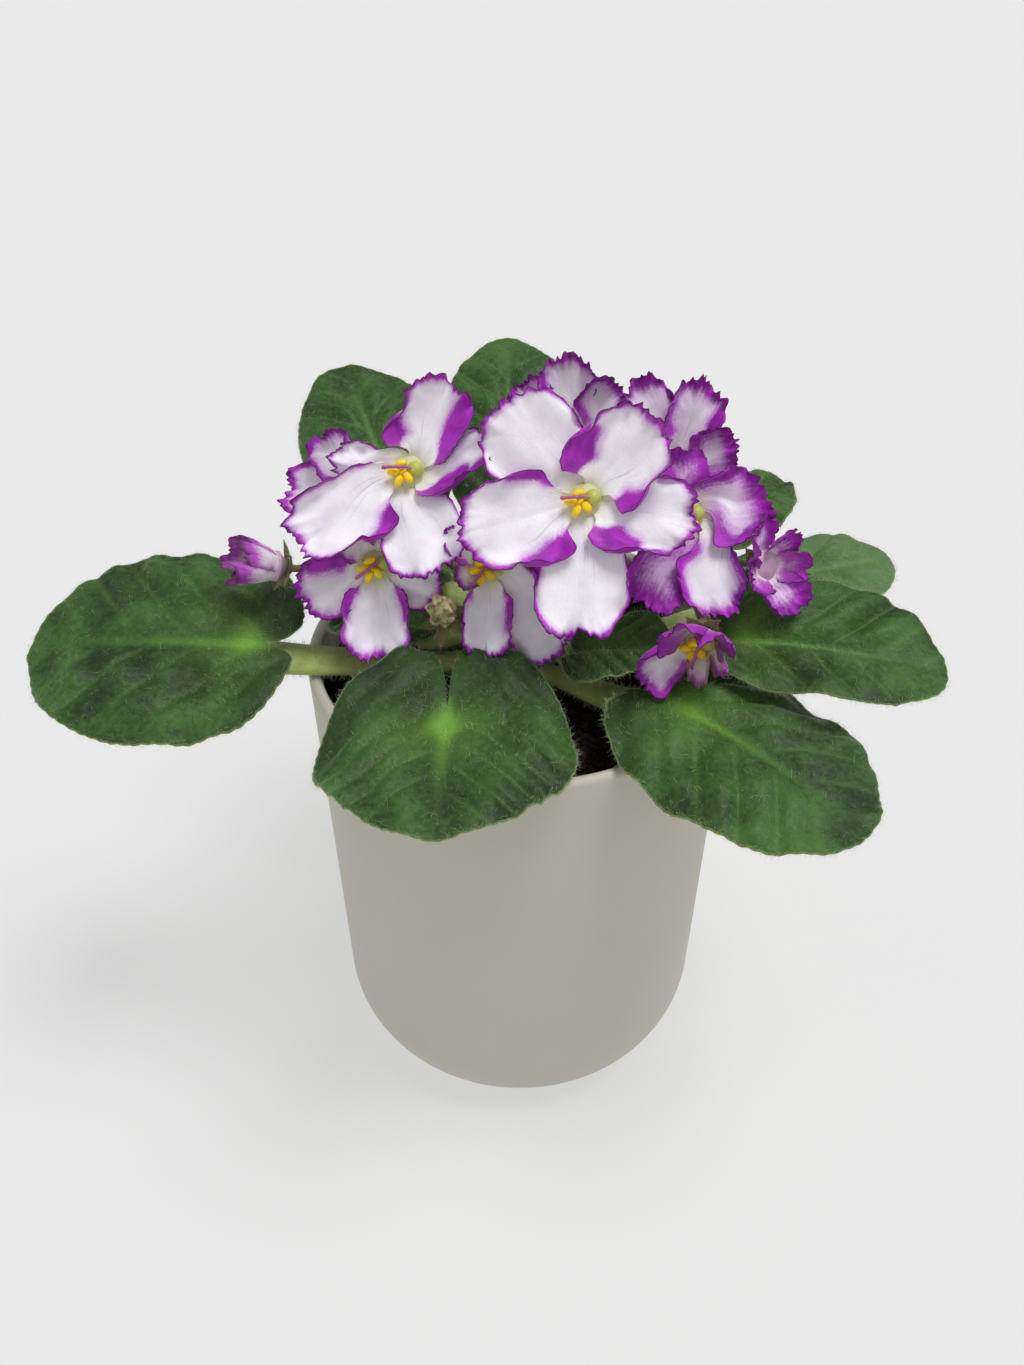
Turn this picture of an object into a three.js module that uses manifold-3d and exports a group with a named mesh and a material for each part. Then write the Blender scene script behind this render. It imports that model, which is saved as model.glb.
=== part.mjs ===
// Potted African violet: a tapered, round-footed cover pot filled with potting mix, and in it a rosette of
// twelve stalked heart-shaped leaves below a dome of frilled white and purple blooms on four flower stems.
// Millimetres, +Z up. The origin is the middle of the pot's foot, and the plant's best side faces -Y.
import * as THREE from "three";
import { mergeVertices } from "three/addons/utils/BufferGeometryUtils.js";
import Module from "manifold-3d";

const wasm = await Module();
wasm.setup();

const UP = new THREE.Vector3(0, 0, 1);
const GAP = 0.3; // clearance between two pieces that touch
const TURN = 2 * Math.PI;

// ---------------------------------------------------------------- driving dimensions

const POT = {
  height: 148, rimRadius: 60, footRadius: 55.5, footRound: 27.5,
  wall: 3.4, floor: 5, innerRound: 24, sides: 40,
};
const SOIL = { top: 137, crumb: 0.8, clearance: 0.5, holeDepth: 24, sides: 22, rings: 4 };
const CROWN = { radius: 8, taper: 6.2, top: 157, sides: 12 };

const LEAF = {
  thickness: 1.0, centre: 0.42, spokes: 24, rings: 3, crowding: 1.15, notch: 0.17,
  tipPower: 2.0, lobePower: 2.5,
  groove: 1.2, grooveWidth: 0.09, puff: 0.7, veinPitch: 0.2, veinSlant: 0.9, crenation: 0.014,
};
const STALK = { rootWide: 2.6, rootHigh: 2.3, endWide: 3.2, endHigh: 1.8, sides: 7, steps: 5, reach: 4 };

// Each leaf: where its blade meets the stalk, its tip, its width, and how it is shaped. "arch" is the angle
// it bends through from base to tip, "roll" turns it about its length, "cup" is how far its sides droop,
// "lobe" is how far the heart lobes reach back, as a share of the length, and "lift" raises them.
const LEAVES = [
  { name: "left", base: [-68, -13, 157], tip: [-137, -3, 150], width: 66, arch: 18, roll: -17,
    cup: 3, lobe: 0.12, lift: 2, rootHeight: 143 },
  { name: "front_left", base: [-17, -40, 153], tip: [-16, -87, 156], width: 67, arch: 42, roll: 2,
    cup: 6, lobe: 0.34, lift: 15, rootHeight: 143 },
  { name: "front_right", base: [38, -33, 154], tip: [82, -77, 147], width: 57, arch: 30, roll: 0,
    cup: 5, lobe: 0.18, lift: 3, rootHeight: 143 },
  { name: "right", base: [54, -14, 160], tip: [112, -27, 157], width: 41, arch: 30, roll: 12,
    cup: -4, lobe: 0.1, lift: 2, rootHeight: 148 },
  { name: "right_upper", base: [57, 10, 158], tip: [106, 16, 165], width: 38, arch: 28, roll: 4,
    cup: 3, lobe: 0.1, lift: 1, rootHeight: 143 },
  { name: "right_back", base: [47, 34, 166], tip: [81, 45, 174], width: 34, arch: 26, roll: 0,
    cup: 4, lobe: 0.1, lift: 1, rootHeight: 148 },
  { name: "back_right", base: [22, 54, 166], tip: [33, 90, 180], width: 36, arch: 24, roll: 4,
    cup: 4, lobe: 0.1, lift: 1, rootHeight: 143 },
  { name: "back", base: [-4, 54, 170], tip: [-3, 100, 196], width: 41, arch: 30, roll: -2,
    cup: 5, lobe: 0.12, lift: 1, rootHeight: 148 },
  { name: "back_left", base: [-37, 48, 165], tip: [-57, 98, 187], width: 46, arch: 26, roll: -6,
    cup: 5, lobe: 0.12, lift: 1, rootHeight: 143 },
  { name: "inner_front", base: [14, -12, 154], tip: [40, -20, 161], width: 31, arch: 24, roll: 0,
    cup: -1, lobe: 0.06, lift: 1, rootHeight: 153 },
  { name: "inner_left", base: [-25, 0, 154], tip: [-54, -1, 155], width: 26, arch: 20, roll: 0,
    cup: -2, lobe: 0.1, lift: 1, rootHeight: 153 },
  { name: "inner_back", base: [-20, 15, 162], tip: [-44, 32, 173], width: 26, arch: 20, roll: 0,
    cup: -2, lobe: 0.1, lift: 1, rootHeight: 153 },
];

const PETAL = {
  thickness: 0.7, across: 5, along: 3, throat: 3.2, rootHalf: 0.5, rounding: 0.28,
  twist: 1.6, ruffle: 1.2, waves: 2.4, funnel: 2.2,
};
const THROAT = { radius: 4.2, tubeRadius: 2.2, depth: 4.2, rise: 0.9, sides: 8 };
const CALYX = { drop: 5.7, neck: 1.2, hollow: 2.4, sepal: 7.5, thickness: 0.8, lift: 2, sepals: 5 };
const STEM = { radius: 1.4, branch: 0.9, sides: 5, steps: 5 };
const ANTHER = { radius: 1.5, spread: 1.5 };
const STYLE = { radius: 0.5, length: 9, sides: 4, steps: 3 };

// Each bloom: its throat, the way it faces (azimuth and elevation in degrees), how far its petals cup
// forward, and its petals from the upper left one round to the left one. Each petal has its angle on the
// face (0 is to the viewer's right, 90 is up), its length and half of the angle that its end spans.
const BLOOMS = [
  { name: "centre", at: [15.9, -11, 201], face: [-93, 32], cup: 3, open: true, phase: 0,
    petals: [[128, 31, 0.6], [56, 28, 0.66], [-10, 29, 0.52], [-88, 35, 0.5], [193, 33, 0.5]] },
  { name: "upper_left", at: [-29.5, 2, 202], face: [-96, 36], cup: 4, open: true, phase: 2,
    petals: [[170, 19, 0.5], [76, 24, 0.6], [30, 25, 0.4], [-66, 28, 0.6], [208, 34, 0.4]] },
  { name: "low_left", at: [-38.3, -6, 178], face: [-90, 26], cup: 2, open: true, phase: 4,
    petals: [[124, 16, 0.56], [54, 16, 0.56], [-30, 19, 0.5], [-91, 26, 0.56], [207, 21, 0.6]] },
  { name: "low_middle", at: [-8.8, -10, 180], face: [-88, 26], cup: 2, open: true, phase: 1,
    petals: [[126, 15, 0.5], [58, 15, 0.5], [-54, 30, 0.42], [-95, 24, 0.38], [198, 9, 0.5]] },
  { name: "right", at: [43.8, -4, 192], face: [-76, 30], cup: 3, open: true, phase: 3,
    petals: [[98, 19, 0.56], [22, 21, 0.66], [-79, 26, 0.52], [232, 25, 0.46], [164, 14, 0.48]] },
  { name: "back_right", at: [42, 27, 191], face: [-84, 34], cup: 4, open: false, phase: 5,
    petals: [[114, 24, 0.52], [66, 23, 0.46], [8, 18, 0.5], [-80, 14, 0.5], [188, 16, 0.5]] },
  { name: "back", at: [13, 33, 195], face: [-92, 34], cup: 5, open: false, phase: 6,
    petals: [[132, 21, 0.5], [86, 22, 0.46], [34, 20, 0.5], [-70, 14, 0.5], [196, 15, 0.5]] },
  { name: "low_right", at: [45.8, -28.5, 168.5], face: [-100, -6], cup: 8, open: true, phase: 7,
    petals: [[124, 14, 0.6], [56, 15, 0.6], [-14, 12, 0.55], [-90, 9, 0.5], [202, 16, 0.55]] },
  { name: "far_right", at: [65.5, -9, 180], face: [-54, 24], cup: 4, open: false, phase: 8,
    petals: [[110, 17, 0.55], [40, 15, 0.55], [-22, 14, 0.55], [-84, 14, 0.55], [184, 10, 0.5]] },
  { name: "far_left", at: [-47, 16, 187], face: [-128, 30], cup: 5, open: false, phase: 9,
    petals: [[122, 17, 0.55], [56, 14, 0.5], [-16, 12, 0.5], [-88, 13, 0.5], [194, 18, 0.55]] },
  { name: "bud_left", at: [-68, -1, 175], face: [-160, 22], cup: 9, open: false, phase: 10,
    petals: [[126, 9, 0.6], [54, 9, 0.6], [-18, 9, 0.6], [-90, 10, 0.6], [198, 10, 0.6]] },
];

// Each flower stem rises from the crown to a fork, and sends a branch to the back of each of its blooms.
const STEMS = [
  { name: "front", root: -70, fork: [2, 3, 170], blooms: ["centre", "low_middle"], faded: true },
  { name: "left", root: 170, fork: [-24, 12, 175],
    blooms: ["upper_left", "low_left", "far_left", "bud_left"] },
  { name: "right", root: 5, fork: [40, 15, 167], blooms: ["right", "low_right", "far_right"] },
  { name: "back", root: 85, fork: [20, 30, 176], blooms: ["back_right", "back"] },
];
const FADED = { at: [-21, -16, 170], face: [-100, 60], radius: 4.4, length: 11, ribs: 5, twist: 1.1 };

const COLOURS = {
  pot: ["#b9b5ab", 0.55], soil: ["#1c1411", 0.95], crown: ["#6f7f3c", 0.7], blade: ["#2f5a2a", 0.7],
  stalk: ["#7f9440", 0.6], petal: ["#e6d3ea", 0.6], anther: ["#f2c40f", 0.5], style: ["#b06a9c", 0.5],
  stem: ["#7a7440", 0.65], faded: ["#a89468", 0.9],
};

// ---------------------------------------------------------------- solids

const vec = (p) => new THREE.Vector3(...p);
const radians = THREE.MathUtils.degToRad;
const smooth = THREE.MathUtils.smoothstep;
const mix = THREE.MathUtils.lerp;
const clamp = THREE.MathUtils.clamp;
const steps = (count, make) => Array.from({ length: count }, (_, i) => make(i));

/** A geometry as a manifold-3d solid, with its shared vertices merged. */
function toSolid(geometry) {
  const bare = geometry.clone();
  bare.deleteAttribute("normal");
  bare.deleteAttribute("uv");
  const merged = mergeVertices(bare, 1e-4);
  return new wasm.Manifold(new wasm.Mesh({
    numProp: 3,
    vertProperties: new Float32Array(merged.attributes.position.array),
    triVerts: new Uint32Array(merged.index.array),
  }));
}

/** The union of several geometries, as one body. */
function fuse(geometries) {
  const mesh = geometries.map(toSolid).reduce((whole, piece) => whole.add(piece)).getMesh();
  return new THREE.BufferGeometry()
    .setAttribute("position", new THREE.Float32BufferAttribute(mesh.vertProperties, mesh.numProp))
    .setIndex([...mesh.triVerts]);
}

/** A closed mesh from points and triangles, turned to face outwards. */
function closed(points, faces) {
  const geometry = new THREE.BufferGeometry().setFromPoints(points).setIndex(faces.flat());
  const insideOut = toSolid(geometry).volume() < 0;
  return insideOut ? geometry.setIndex(faces.flatMap(([a, b, c]) => [a, c, b])) : geometry;
}

/** A closed skin over rings of equally many points, with a fan over each end. */
function loft(rings) {
  const n = rings[0].length;
  const last = (rings.length - 1) * n;
  const faces = [];
  for (let start = 0; start < last; start += n) {
    for (let i = 0; i < n; i++) {
      const [a, b] = [start + i, start + ((i + 1) % n)];
      faces.push([a, b, b + n], [a, b + n, a + n]);
    }
  }
  for (let i = 1; i + 1 < n; i++) faces.push([0, i + 1, i], [last, last + i, last + i + 1]);
  return closed(rings.flat(), faces);
}

/** A level ring of points round the Z axis, with its radius given at each point. */
function ring(count, height, radiusAt, turn = 0) {
  return steps(count, (i) => {
    const angle = turn + (TURN * i) / count;
    return new THREE.Vector3(radiusAt(i) * Math.cos(angle), radiusAt(i) * Math.sin(angle), height);
  });
}

/** A bar along a curve, with half its height and half its width given at each share of the length. */
function bar(curve, sizeAt, sides, count) {
  const frames = curve.computeFrenetFrames(count, false);
  return loft(steps(count + 1, (k) => {
    const middle = curve.getPointAt(k / count);
    const [high, wide] = sizeAt(k / count);
    return steps(sides, (i) => middle.clone()
      .addScaledVector(frames.normals[k], high * Math.cos((TURN * i) / sides))
      .addScaledVector(frames.binormals[k], wide * Math.sin((TURN * i) / sides)));
  }));
}

/** A thin closed slab: a sheet of upper points, the same sheet lowered, and the rim between them. */
function slab(sheetAt, thickness, cells, rim) {
  const upper = sheetAt(0);
  const n = upper.length;
  const faces = cells.flatMap(([a, b, c]) => [[a, b, c], [a + n, c + n, b + n]]);
  rim.forEach((a, i) => {
    const b = rim[(i + 1) % rim.length];
    faces.push([a, a + n, b + n], [a, b + n, b]);
  });
  return closed([...upper, ...sheetAt(thickness)], faces);
}

/** A turned solid: a profile from the bottom of the axis, outwards, up and back to the axis. */
const lathe = (profile, sides) => new THREE.LatheGeometry(profile, sides).rotateX(Math.PI / 2);

// ---------------------------------------------------------------- pot, soil and crown

const point = (x, z) => new THREE.Vector2(x, z);

/** Points of an arc in the profile plane, from one angle to another. */
function arc(x, z, radius, from, to, count) {
  return steps(count + 1, (i) => {
    const angle = mix(from, to, i / count);
    return point(x + radius * Math.cos(angle), z + radius * Math.sin(angle));
  });
}

const LEAN = Math.atan2(POT.rimRadius - POT.footRadius, POT.height);

/** How far out a leaning wall is at a height, when it is set in from the pot's outside. */
const wallAt = (inset, z) => POT.footRadius - inset + z * Math.tan(LEAN);

/** The rounded corner between a floor and a leaning wall, from the floor up. */
function corner(inset, floor, round, count) {
  const z = floor + round;
  return arc(wallAt(inset, z) - round / Math.cos(LEAN), z, round, -Math.PI / 2, -LEAN, count);
}

function potGeometry() {
  const lip = POT.wall / 2;
  const profile = [
    point(0, 0),
    ...corner(0, 0, POT.footRound, 5),
    ...arc(POT.rimRadius - lip, POT.height - lip, lip, 0, Math.PI, 3),
    ...corner(POT.wall, POT.floor, POT.innerRound, 4).reverse(),
    point(0, POT.floor),
  ];
  return lathe(profile, POT.sides);
}

/** The potting mix fills the pot to below its rim, with a crumbly top and a hole for the crown. */
function soilGeometry() {
  const outer = wallAt(POT.wall + SOIL.clearance, SOIL.top);
  const hole = CROWN.radius + GAP;
  const floor = POT.floor + SOIL.clearance;
  const profile = [
    point(0, floor),
    ...corner(POT.wall + SOIL.clearance, floor, POT.innerRound - SOIL.clearance, 4),
    ...steps(SOIL.rings + 1, (i) => point(mix(outer, hole, i / SOIL.rings), SOIL.top)),
    point(hole, SOIL.top - SOIL.holeDepth),
    point(0, SOIL.top - SOIL.holeDepth),
  ];
  const geometry = lathe(profile, SOIL.sides);
  const position = geometry.attributes.position;
  for (let i = 0; i < position.count; i++) {
    const [x, y, z] = [position.getX(i), position.getY(i), position.getZ(i)];
    const lumps = Math.sin(x * 0.55 + 1.3) * Math.cos(y * 0.47) + 0.6 * Math.sin((x - y) * 0.31);
    if (z > SOIL.top - 1e-3) position.setZ(i, z + SOIL.crumb * lumps);
  }
  return geometry;
}

/** The crown: the short thick stem that every stalk and flower stem springs from. */
function crownGeometry() {
  const bottom = SOIL.top - SOIL.holeDepth + GAP;
  const profile = [
    point(0, bottom), point(CROWN.taper, bottom), point(CROWN.radius, bottom + 6),
    point(CROWN.radius, CROWN.top - 2), point(CROWN.taper, CROWN.top), point(0, CROWN.top),
  ];
  return lathe(profile, CROWN.sides);
}

// ---------------------------------------------------------------- leaves

/** The blade's outline: its distance from the blade's own centre, at an angle from the tip's side. */
function outline(leaf, length, angle) {
  const turn = Math.abs(angle);
  const front = turn < Math.PI / 2;
  const reach = (front ? 1 - LEAF.centre : LEAF.centre + leaf.lobe) * length;
  const power = front ? LEAF.tipPower : LEAF.lobePower;
  const [ahead, aside] = [Math.abs(Math.cos(turn)) / reach, (2 * Math.sin(turn)) / leaf.width];
  const edge = (ahead ** power + aside ** power) ** (-1 / power);
  const notch = Math.exp(-(((Math.PI - turn) / LEAF.notch) ** 2));
  return front ? edge : mix(edge, LEAF.centre * length, notch);
}

/** Maps leaf coordinates to space: "along" from base to tip, "across" to its left, "rise" off its sheet. */
function leafFrame(leaf) {
  const [base, tip] = [vec(leaf.base), vec(leaf.tip)];
  const ahead = tip.clone().sub(base).normalize();
  const bend = radians(leaf.arch);
  const radius = base.distanceTo(tip) / 2 / Math.sin(bend / 2);
  const length = radius * bend;
  const side = UP.clone().cross(ahead).normalize().applyAxisAngle(ahead, radians(leaf.roll));
  const above = ahead.clone().cross(side);
  const at = (along, across, rise) => {
    const angle = (Math.max(along, 0) / length - 0.5) * bend;
    const [cos, sin, behind] = [Math.cos(angle), Math.sin(angle), Math.min(along, 0)];
    return base.clone()
      .addScaledVector(ahead, radius * (sin + Math.sin(bend / 2)) + rise * sin + behind * cos)
      .addScaledVector(above, radius * (cos - Math.cos(bend / 2)) + rise * cos - behind * sin)
      .addScaledVector(side, across);
  };
  return { at, length };
}

/** How far the blade stands off its smooth sheet: drooping sides, midrib groove, quilting, raised lobes. */
function relief(leaf, length, along, across) {
  const half = leaf.width / 2;
  const [u, v] = [along / length, Math.abs(across) / half];
  const droop = -leaf.cup * v * v;
  const groove = -LEAF.groove * Math.exp(-((v / LEAF.grooveWidth) ** 2)) * (1 - smooth(u, 0.5, 1));
  const vein = (u - LEAF.veinSlant * v * (half / length)) / LEAF.veinPitch;
  const between = smooth(v, 0.05, 0.4) * (1 - smooth(v, 0.6, 1));
  const puff = LEAF.puff * between * (0.5 - 0.5 * Math.cos(TURN * vein));
  const lobes = leaf.lift * smooth(-u, -0.22, leaf.lobe);
  return droop + groove + puff + lobes;
}

function bladeGeometry(leaf) {
  const { at, length } = leafFrame(leaf);
  const half = LEAF.spokes / 2;
  const place = (radius, angle, drop) => {
    const [along, across] = [LEAF.centre * length + radius * Math.cos(angle), radius * Math.sin(angle)];
    return at(along, across, relief(leaf, length, along, across) - drop);
  };
  const sheetAt = (drop) => {
    const points = [place(0, 0, drop)];
    for (let row = 1; row <= LEAF.rings; row++) {
      for (let k = -half; k < half; k++) {
        const angle = Math.sign(k) * Math.PI * (1 - (1 - Math.abs(k) / half) ** LEAF.crowding);
        const scallop = row === LEAF.rings && k % 2 === 0 ? 1 - LEAF.crenation : 1;
        points.push(place((outline(leaf, length, angle) * scallop * row) / LEAF.rings, angle, drop));
      }
    }
    return points;
  };
  const spot = (row, k) => 1 + (row - 1) * LEAF.spokes + (k % LEAF.spokes);
  const cells = [];
  for (let k = 0; k < LEAF.spokes; k++) {
    cells.push([0, spot(1, k), spot(1, k + 1)]);
    for (let row = 1; row < LEAF.rings; row++) {
      const [a, b, c, d] = [spot(row, k), spot(row + 1, k), spot(row + 1, k + 1), spot(row, k + 1)];
      cells.push([a, b, c], [a, c, d]);
    }
  }
  return slab(sheetAt, LEAF.thickness, cells, steps(LEAF.spokes, (k) => spot(LEAF.rings, k)));
}

/** The stalk: from the crown's side, outwards and up, to just under the blade's base. */
function stalkGeometry(leaf) {
  const { at, length } = leafFrame(leaf);
  const below = LEAF.thickness + LEAF.groove + STALK.endHigh + 2 * GAP;
  const end = at(STALK.reach, 0, -below);
  const before = at(-0.2 * length, 0, -below - 1);
  const heading = new THREE.Vector3(end.x, end.y, 0).normalize();
  const root = heading.clone().multiplyScalar(CROWN.radius + GAP).setZ(leaf.rootHeight);
  const curve = new THREE.CubicBezierCurve3(root, root.clone().addScaledVector(heading, 9), before, end);
  const [rootSize, endSize] = [[STALK.rootHigh, STALK.rootWide], [STALK.endHigh, STALK.endWide]];
  const sizeAt = (share) => [0, 1].map((i) => mix(rootSize[i], endSize[i], share));
  return bar(curve, sizeAt, STALK.sides, STALK.steps);
}

// ---------------------------------------------------------------- blooms

/** The frame of a bloom: its right and its up as its viewer sees them, and the way it faces. */
function bloomFrame({ at, face: [azimuth, elevation] }) {
  const [turn, rise] = [radians(azimuth), radians(elevation)];
  const level = Math.cos(rise);
  const face = new THREE.Vector3(level * Math.cos(turn), level * Math.sin(turn), Math.sin(rise));
  const right = UP.clone().cross(face).normalize();
  return new THREE.Matrix4().makeBasis(right, face.clone().cross(right), face).setPosition(...at);
}

/** A petal's upper surface in the bloom's own frame: a frilled fan from the throat to a rounded end. */
function petalSurface(bloom, [angle, length, spread], order) {
  const rooted = radians(126 - 72 * order);
  const swing = Math.atan2(Math.sin(radians(angle) - rooted), Math.cos(radians(angle) - rooted));
  return (share, side) => {
    const end = length * (1 - PETAL.rounding * Math.abs(side) ** 2.6);
    const radius = mix(PETAL.throat, end, share);
    const half = mix(PETAL.rootHalf, spread, smooth(share, 0, 0.5));
    const turn = rooted + swing * smooth(share, 0, 0.6) + side * half;
    const wave = Math.sin(PETAL.waves * Math.PI * side + bloom.phase + 2 * order);
    const frill = PETAL.ruffle * share ** 2.5 * wave;
    const funnel = PETAL.funnel * (1 - share) ** 6;
    const height = bloom.cup * share ** 1.6 + PETAL.twist * side * share + frill - funnel;
    return new THREE.Vector3(radius * Math.cos(turn), radius * Math.sin(turn), height);
  };
}

/** The way a surface faces at a place on it. */
function normalOf(surface, share, side) {
  const step = 0.01;
  const [s, t] = [clamp(share, step, 1 - step), clamp(side, step - 1, 1 - step)];
  const along = surface(s + step, t).sub(surface(s - step, t));
  const across = surface(s, t + step).sub(surface(s, t - step));
  return along.cross(across).normalize();
}

/** One petal as a thin solid, of the same thickness all over. */
function petalGeometry(bloom, petal, order) {
  const surface = petalSurface(bloom, petal, order);
  const columns = PETAL.across + 1;
  const sheetAt = (drop) => steps((PETAL.along + 1) * columns, (i) => {
    const [share, side] = [Math.floor(i / columns) / PETAL.along, (2 * (i % columns)) / PETAL.across - 1];
    const facing = UP.clone().lerp(normalOf(surface, share, side), smooth(share, 0, 0.6)).normalize();
    return surface(share, side).addScaledVector(facing, -drop);
  });
  const spot = (row, column) => row * columns + column;
  const cells = steps(PETAL.along * PETAL.across, (i) => {
    const [row, column] = [Math.floor(i / PETAL.across), i % PETAL.across];
    const [a, b] = [spot(row, column), spot(row + 1, column)];
    return [[a, b, b + 1], [a, b + 1, a + 1]];
  }).flat();
  const rim = [
    ...steps(PETAL.across, (i) => spot(0, PETAL.across - i)),
    ...steps(PETAL.along, (i) => spot(i, 0)),
    ...steps(PETAL.across, (i) => spot(PETAL.along, i)),
    ...steps(PETAL.along, (i) => spot(PETAL.along - i, PETAL.across)),
  ];
  return slab(sheetAt, PETAL.thickness, cells, rim);
}

/** A funnel that joins the petals, with the short tube behind it. */
function throatGeometry() {
  const sections = [
    [-THROAT.depth, THROAT.tubeRadius], [-PETAL.funnel, THROAT.radius],
    [-PETAL.funnel + THROAT.rise, THROAT.radius],
  ];
  return loft(sections.map(([height, radius]) => ring(THROAT.sides, height, () => radius)));
}

const corollaGeometry = (bloom) =>
  fuse([throatGeometry(), ...bloom.petals.map((petal, order) => petalGeometry(bloom, petal, order))]);

const THROAT_FLOOR = -PETAL.funnel + THROAT.rise + GAP;

/** Two anthers joined face to face, which show as four lobes. */
function antherGeometry() {
  return fuse([[-1, -1], [-1, 1], [1, -1], [1, 1]].map(([x, y]) =>
    new THREE.IcosahedronGeometry(ANTHER.radius).scale(1.15, 0.85, 0.9).rotateZ(0.5 * x * y)
      .translate((x * ANTHER.spread) / 2, (y * ANTHER.spread) / 2 - 1.2, THROAT_FLOOR + ANTHER.radius)));
}

/** The style: a slim curved bar that leans out of the throat beside the anthers. */
function styleGeometry() {
  const curve = new THREE.QuadraticBezierCurve3(
    new THREE.Vector3(-1.2, 2.2, THROAT_FLOOR + 0.5),
    new THREE.Vector3(-3, 2.6, THROAT_FLOOR + 4.5),
    new THREE.Vector3(-1.2 - STYLE.length * 0.75, 1.4, THROAT_FLOOR + 5.5));
  return bar(curve, () => [STYLE.radius, STYLE.radius], STYLE.sides, STYLE.steps);
}

/** The green star behind a bloom: a cup on the end of its branch with five pointed sepals. */
function calyxGeometry(lift) {
  const [back, front] = [-CALYX.drop, -CALYX.drop + CALYX.thickness];
  const level = (height, radiusAt) => ring(2 * CALYX.sepals, height, radiusAt, radians(54));
  const neck = (height) => level(height, () => CALYX.neck);
  const star = (height) => level(height, (i) => (i % 2 ? CALYX.hollow : CALYX.sepal))
    .map((p, i) => p.setZ(p.z + (i % 2 ? 0 : lift)));
  return loft([neck(back - 1), star(back), star(front), neck(front + 0.1)]);
}

/** One flower stem, fused: the main stem, the branch to each bloom, and each bloom's calyx. */
function stemGeometry(stem) {
  const fork = vec(stem.fork);
  const above = (p, rise) => p.clone().addScaledVector(UP, rise);
  const turn = radians(stem.root);
  const root = new THREE.Vector3(Math.cos(turn), Math.sin(turn), 0).multiplyScalar(3.9).setZ(CROWN.top + GAP);
  const rise = new THREE.CubicBezierCurve3(root, above(root, 9), above(fork, -9), fork);
  const pieces = [bar(rise, () => [STEM.radius, STEM.radius], STEM.sides, STEM.steps)];
  const heads = stem.blooms.map((name) => BLOOMS.find((bloom) => bloom.name === name));
  for (const head of stem.faded ? [...heads, FADED] : heads) {
    const frame = bloomFrame(head);
    const joint = new THREE.Vector3(0, 0, -CALYX.drop - 0.5).applyMatrix4(frame);
    const behind = new THREE.Vector3(0, 0, -CALYX.drop - 9).applyMatrix4(frame);
    const branch = new THREE.CubicBezierCurve3(above(fork, -1.5), above(fork, 4), behind, joint);
    pieces.push(bar(branch, () => [STEM.branch, STEM.branch], STEM.sides, STEM.steps));
    pieces.push(calyxGeometry(head === FADED ? -CALYX.lift : CALYX.lift).applyMatrix4(frame));
  }
  return fuse(pieces);
}

/** The faded bloom: its petals shrivelled into a small twisted, ribbed cone. */
function fadedGeometry() {
  const foot = -CALYX.drop + CALYX.thickness + 0.1 + GAP;
  const sections = [[0, 0.4], [0.15, 0.8], [0.45, 1], [0.75, 0.85], [1, 0.35]];
  return loft(sections.map(([share, width]) => ring(2 * FADED.ribs, foot + FADED.length * share,
    (i) => FADED.radius * width * (i % 2 ? 0.72 : 1), FADED.twist * share)));
}

// ---------------------------------------------------------------- assembly

const violet = new THREE.Group();

function add(name, geometry, look) {
  const [color, roughness] = COLOURS[look];
  const mesh = new THREE.Mesh(geometry, new THREE.MeshStandardMaterial({ color, roughness, metalness: 0 }));
  mesh.name = name;
  violet.add(mesh);
}

add("pot", potGeometry(), "pot");
add("soil", soilGeometry(), "soil");
add("crown", crownGeometry(), "crown");
for (const leaf of LEAVES) {
  add(`leaf_${leaf.name}_blade`, bladeGeometry(leaf), "blade");
  add(`leaf_${leaf.name}_stalk`, stalkGeometry(leaf), "stalk");
}
for (const bloom of BLOOMS) {
  const frame = bloomFrame(bloom);
  add(`bloom_${bloom.name}_petals`, corollaGeometry(bloom).applyMatrix4(frame), "petal");
  if (bloom.open) {
    add(`bloom_${bloom.name}_anthers`, antherGeometry().applyMatrix4(frame), "anther");
    add(`bloom_${bloom.name}_style`, styleGeometry().applyMatrix4(frame), "style");
  }
}
for (const stem of STEMS) add(`flower_stem_${stem.name}`, stemGeometry(stem), "stem");
add("bloom_faded", fadedGeometry().applyMatrix4(bloomFrame(FADED)), "faded");

export default violet;
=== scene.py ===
"""A potted African violet: its looks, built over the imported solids.

Sizes are in millimetres, and each mesh is scaled to metres when it is made. They are those of the part's
source with finer steps, and a few leaves, stalks and blooms were fitted closer to the photograph since. The
plant's best side faces -Y, and the middle of the pot's foot is the origin.
"""

from __future__ import annotations

import logging
import math
from dataclasses import dataclass, field
from enum import Enum
from typing import Any, Sequence

import bpy
import numpy as np
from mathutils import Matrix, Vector


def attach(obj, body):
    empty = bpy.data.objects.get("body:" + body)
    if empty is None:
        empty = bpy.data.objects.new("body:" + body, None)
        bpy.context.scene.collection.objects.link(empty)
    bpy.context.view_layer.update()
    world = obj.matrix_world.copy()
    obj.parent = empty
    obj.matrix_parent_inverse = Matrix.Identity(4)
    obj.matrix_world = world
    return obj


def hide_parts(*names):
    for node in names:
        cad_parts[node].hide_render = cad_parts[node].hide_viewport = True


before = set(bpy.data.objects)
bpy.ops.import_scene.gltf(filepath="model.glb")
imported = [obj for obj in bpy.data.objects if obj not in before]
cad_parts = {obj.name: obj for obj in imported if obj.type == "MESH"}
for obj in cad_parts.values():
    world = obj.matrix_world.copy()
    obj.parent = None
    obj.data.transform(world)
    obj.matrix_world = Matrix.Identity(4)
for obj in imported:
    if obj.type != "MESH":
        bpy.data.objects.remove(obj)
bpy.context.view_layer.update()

Array = np.ndarray
Colour = tuple[float, float, float]
Point = tuple[float, float, float]

MM = 0.001
TURN = 2 * math.pi
UP = np.array([0.0, 0.0, 1.0])

# The air between neighbouring solids.
GAP = 0.3

log = logging.getLogger("violet")


# ---------------------------------------------------------------- numbers


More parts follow.
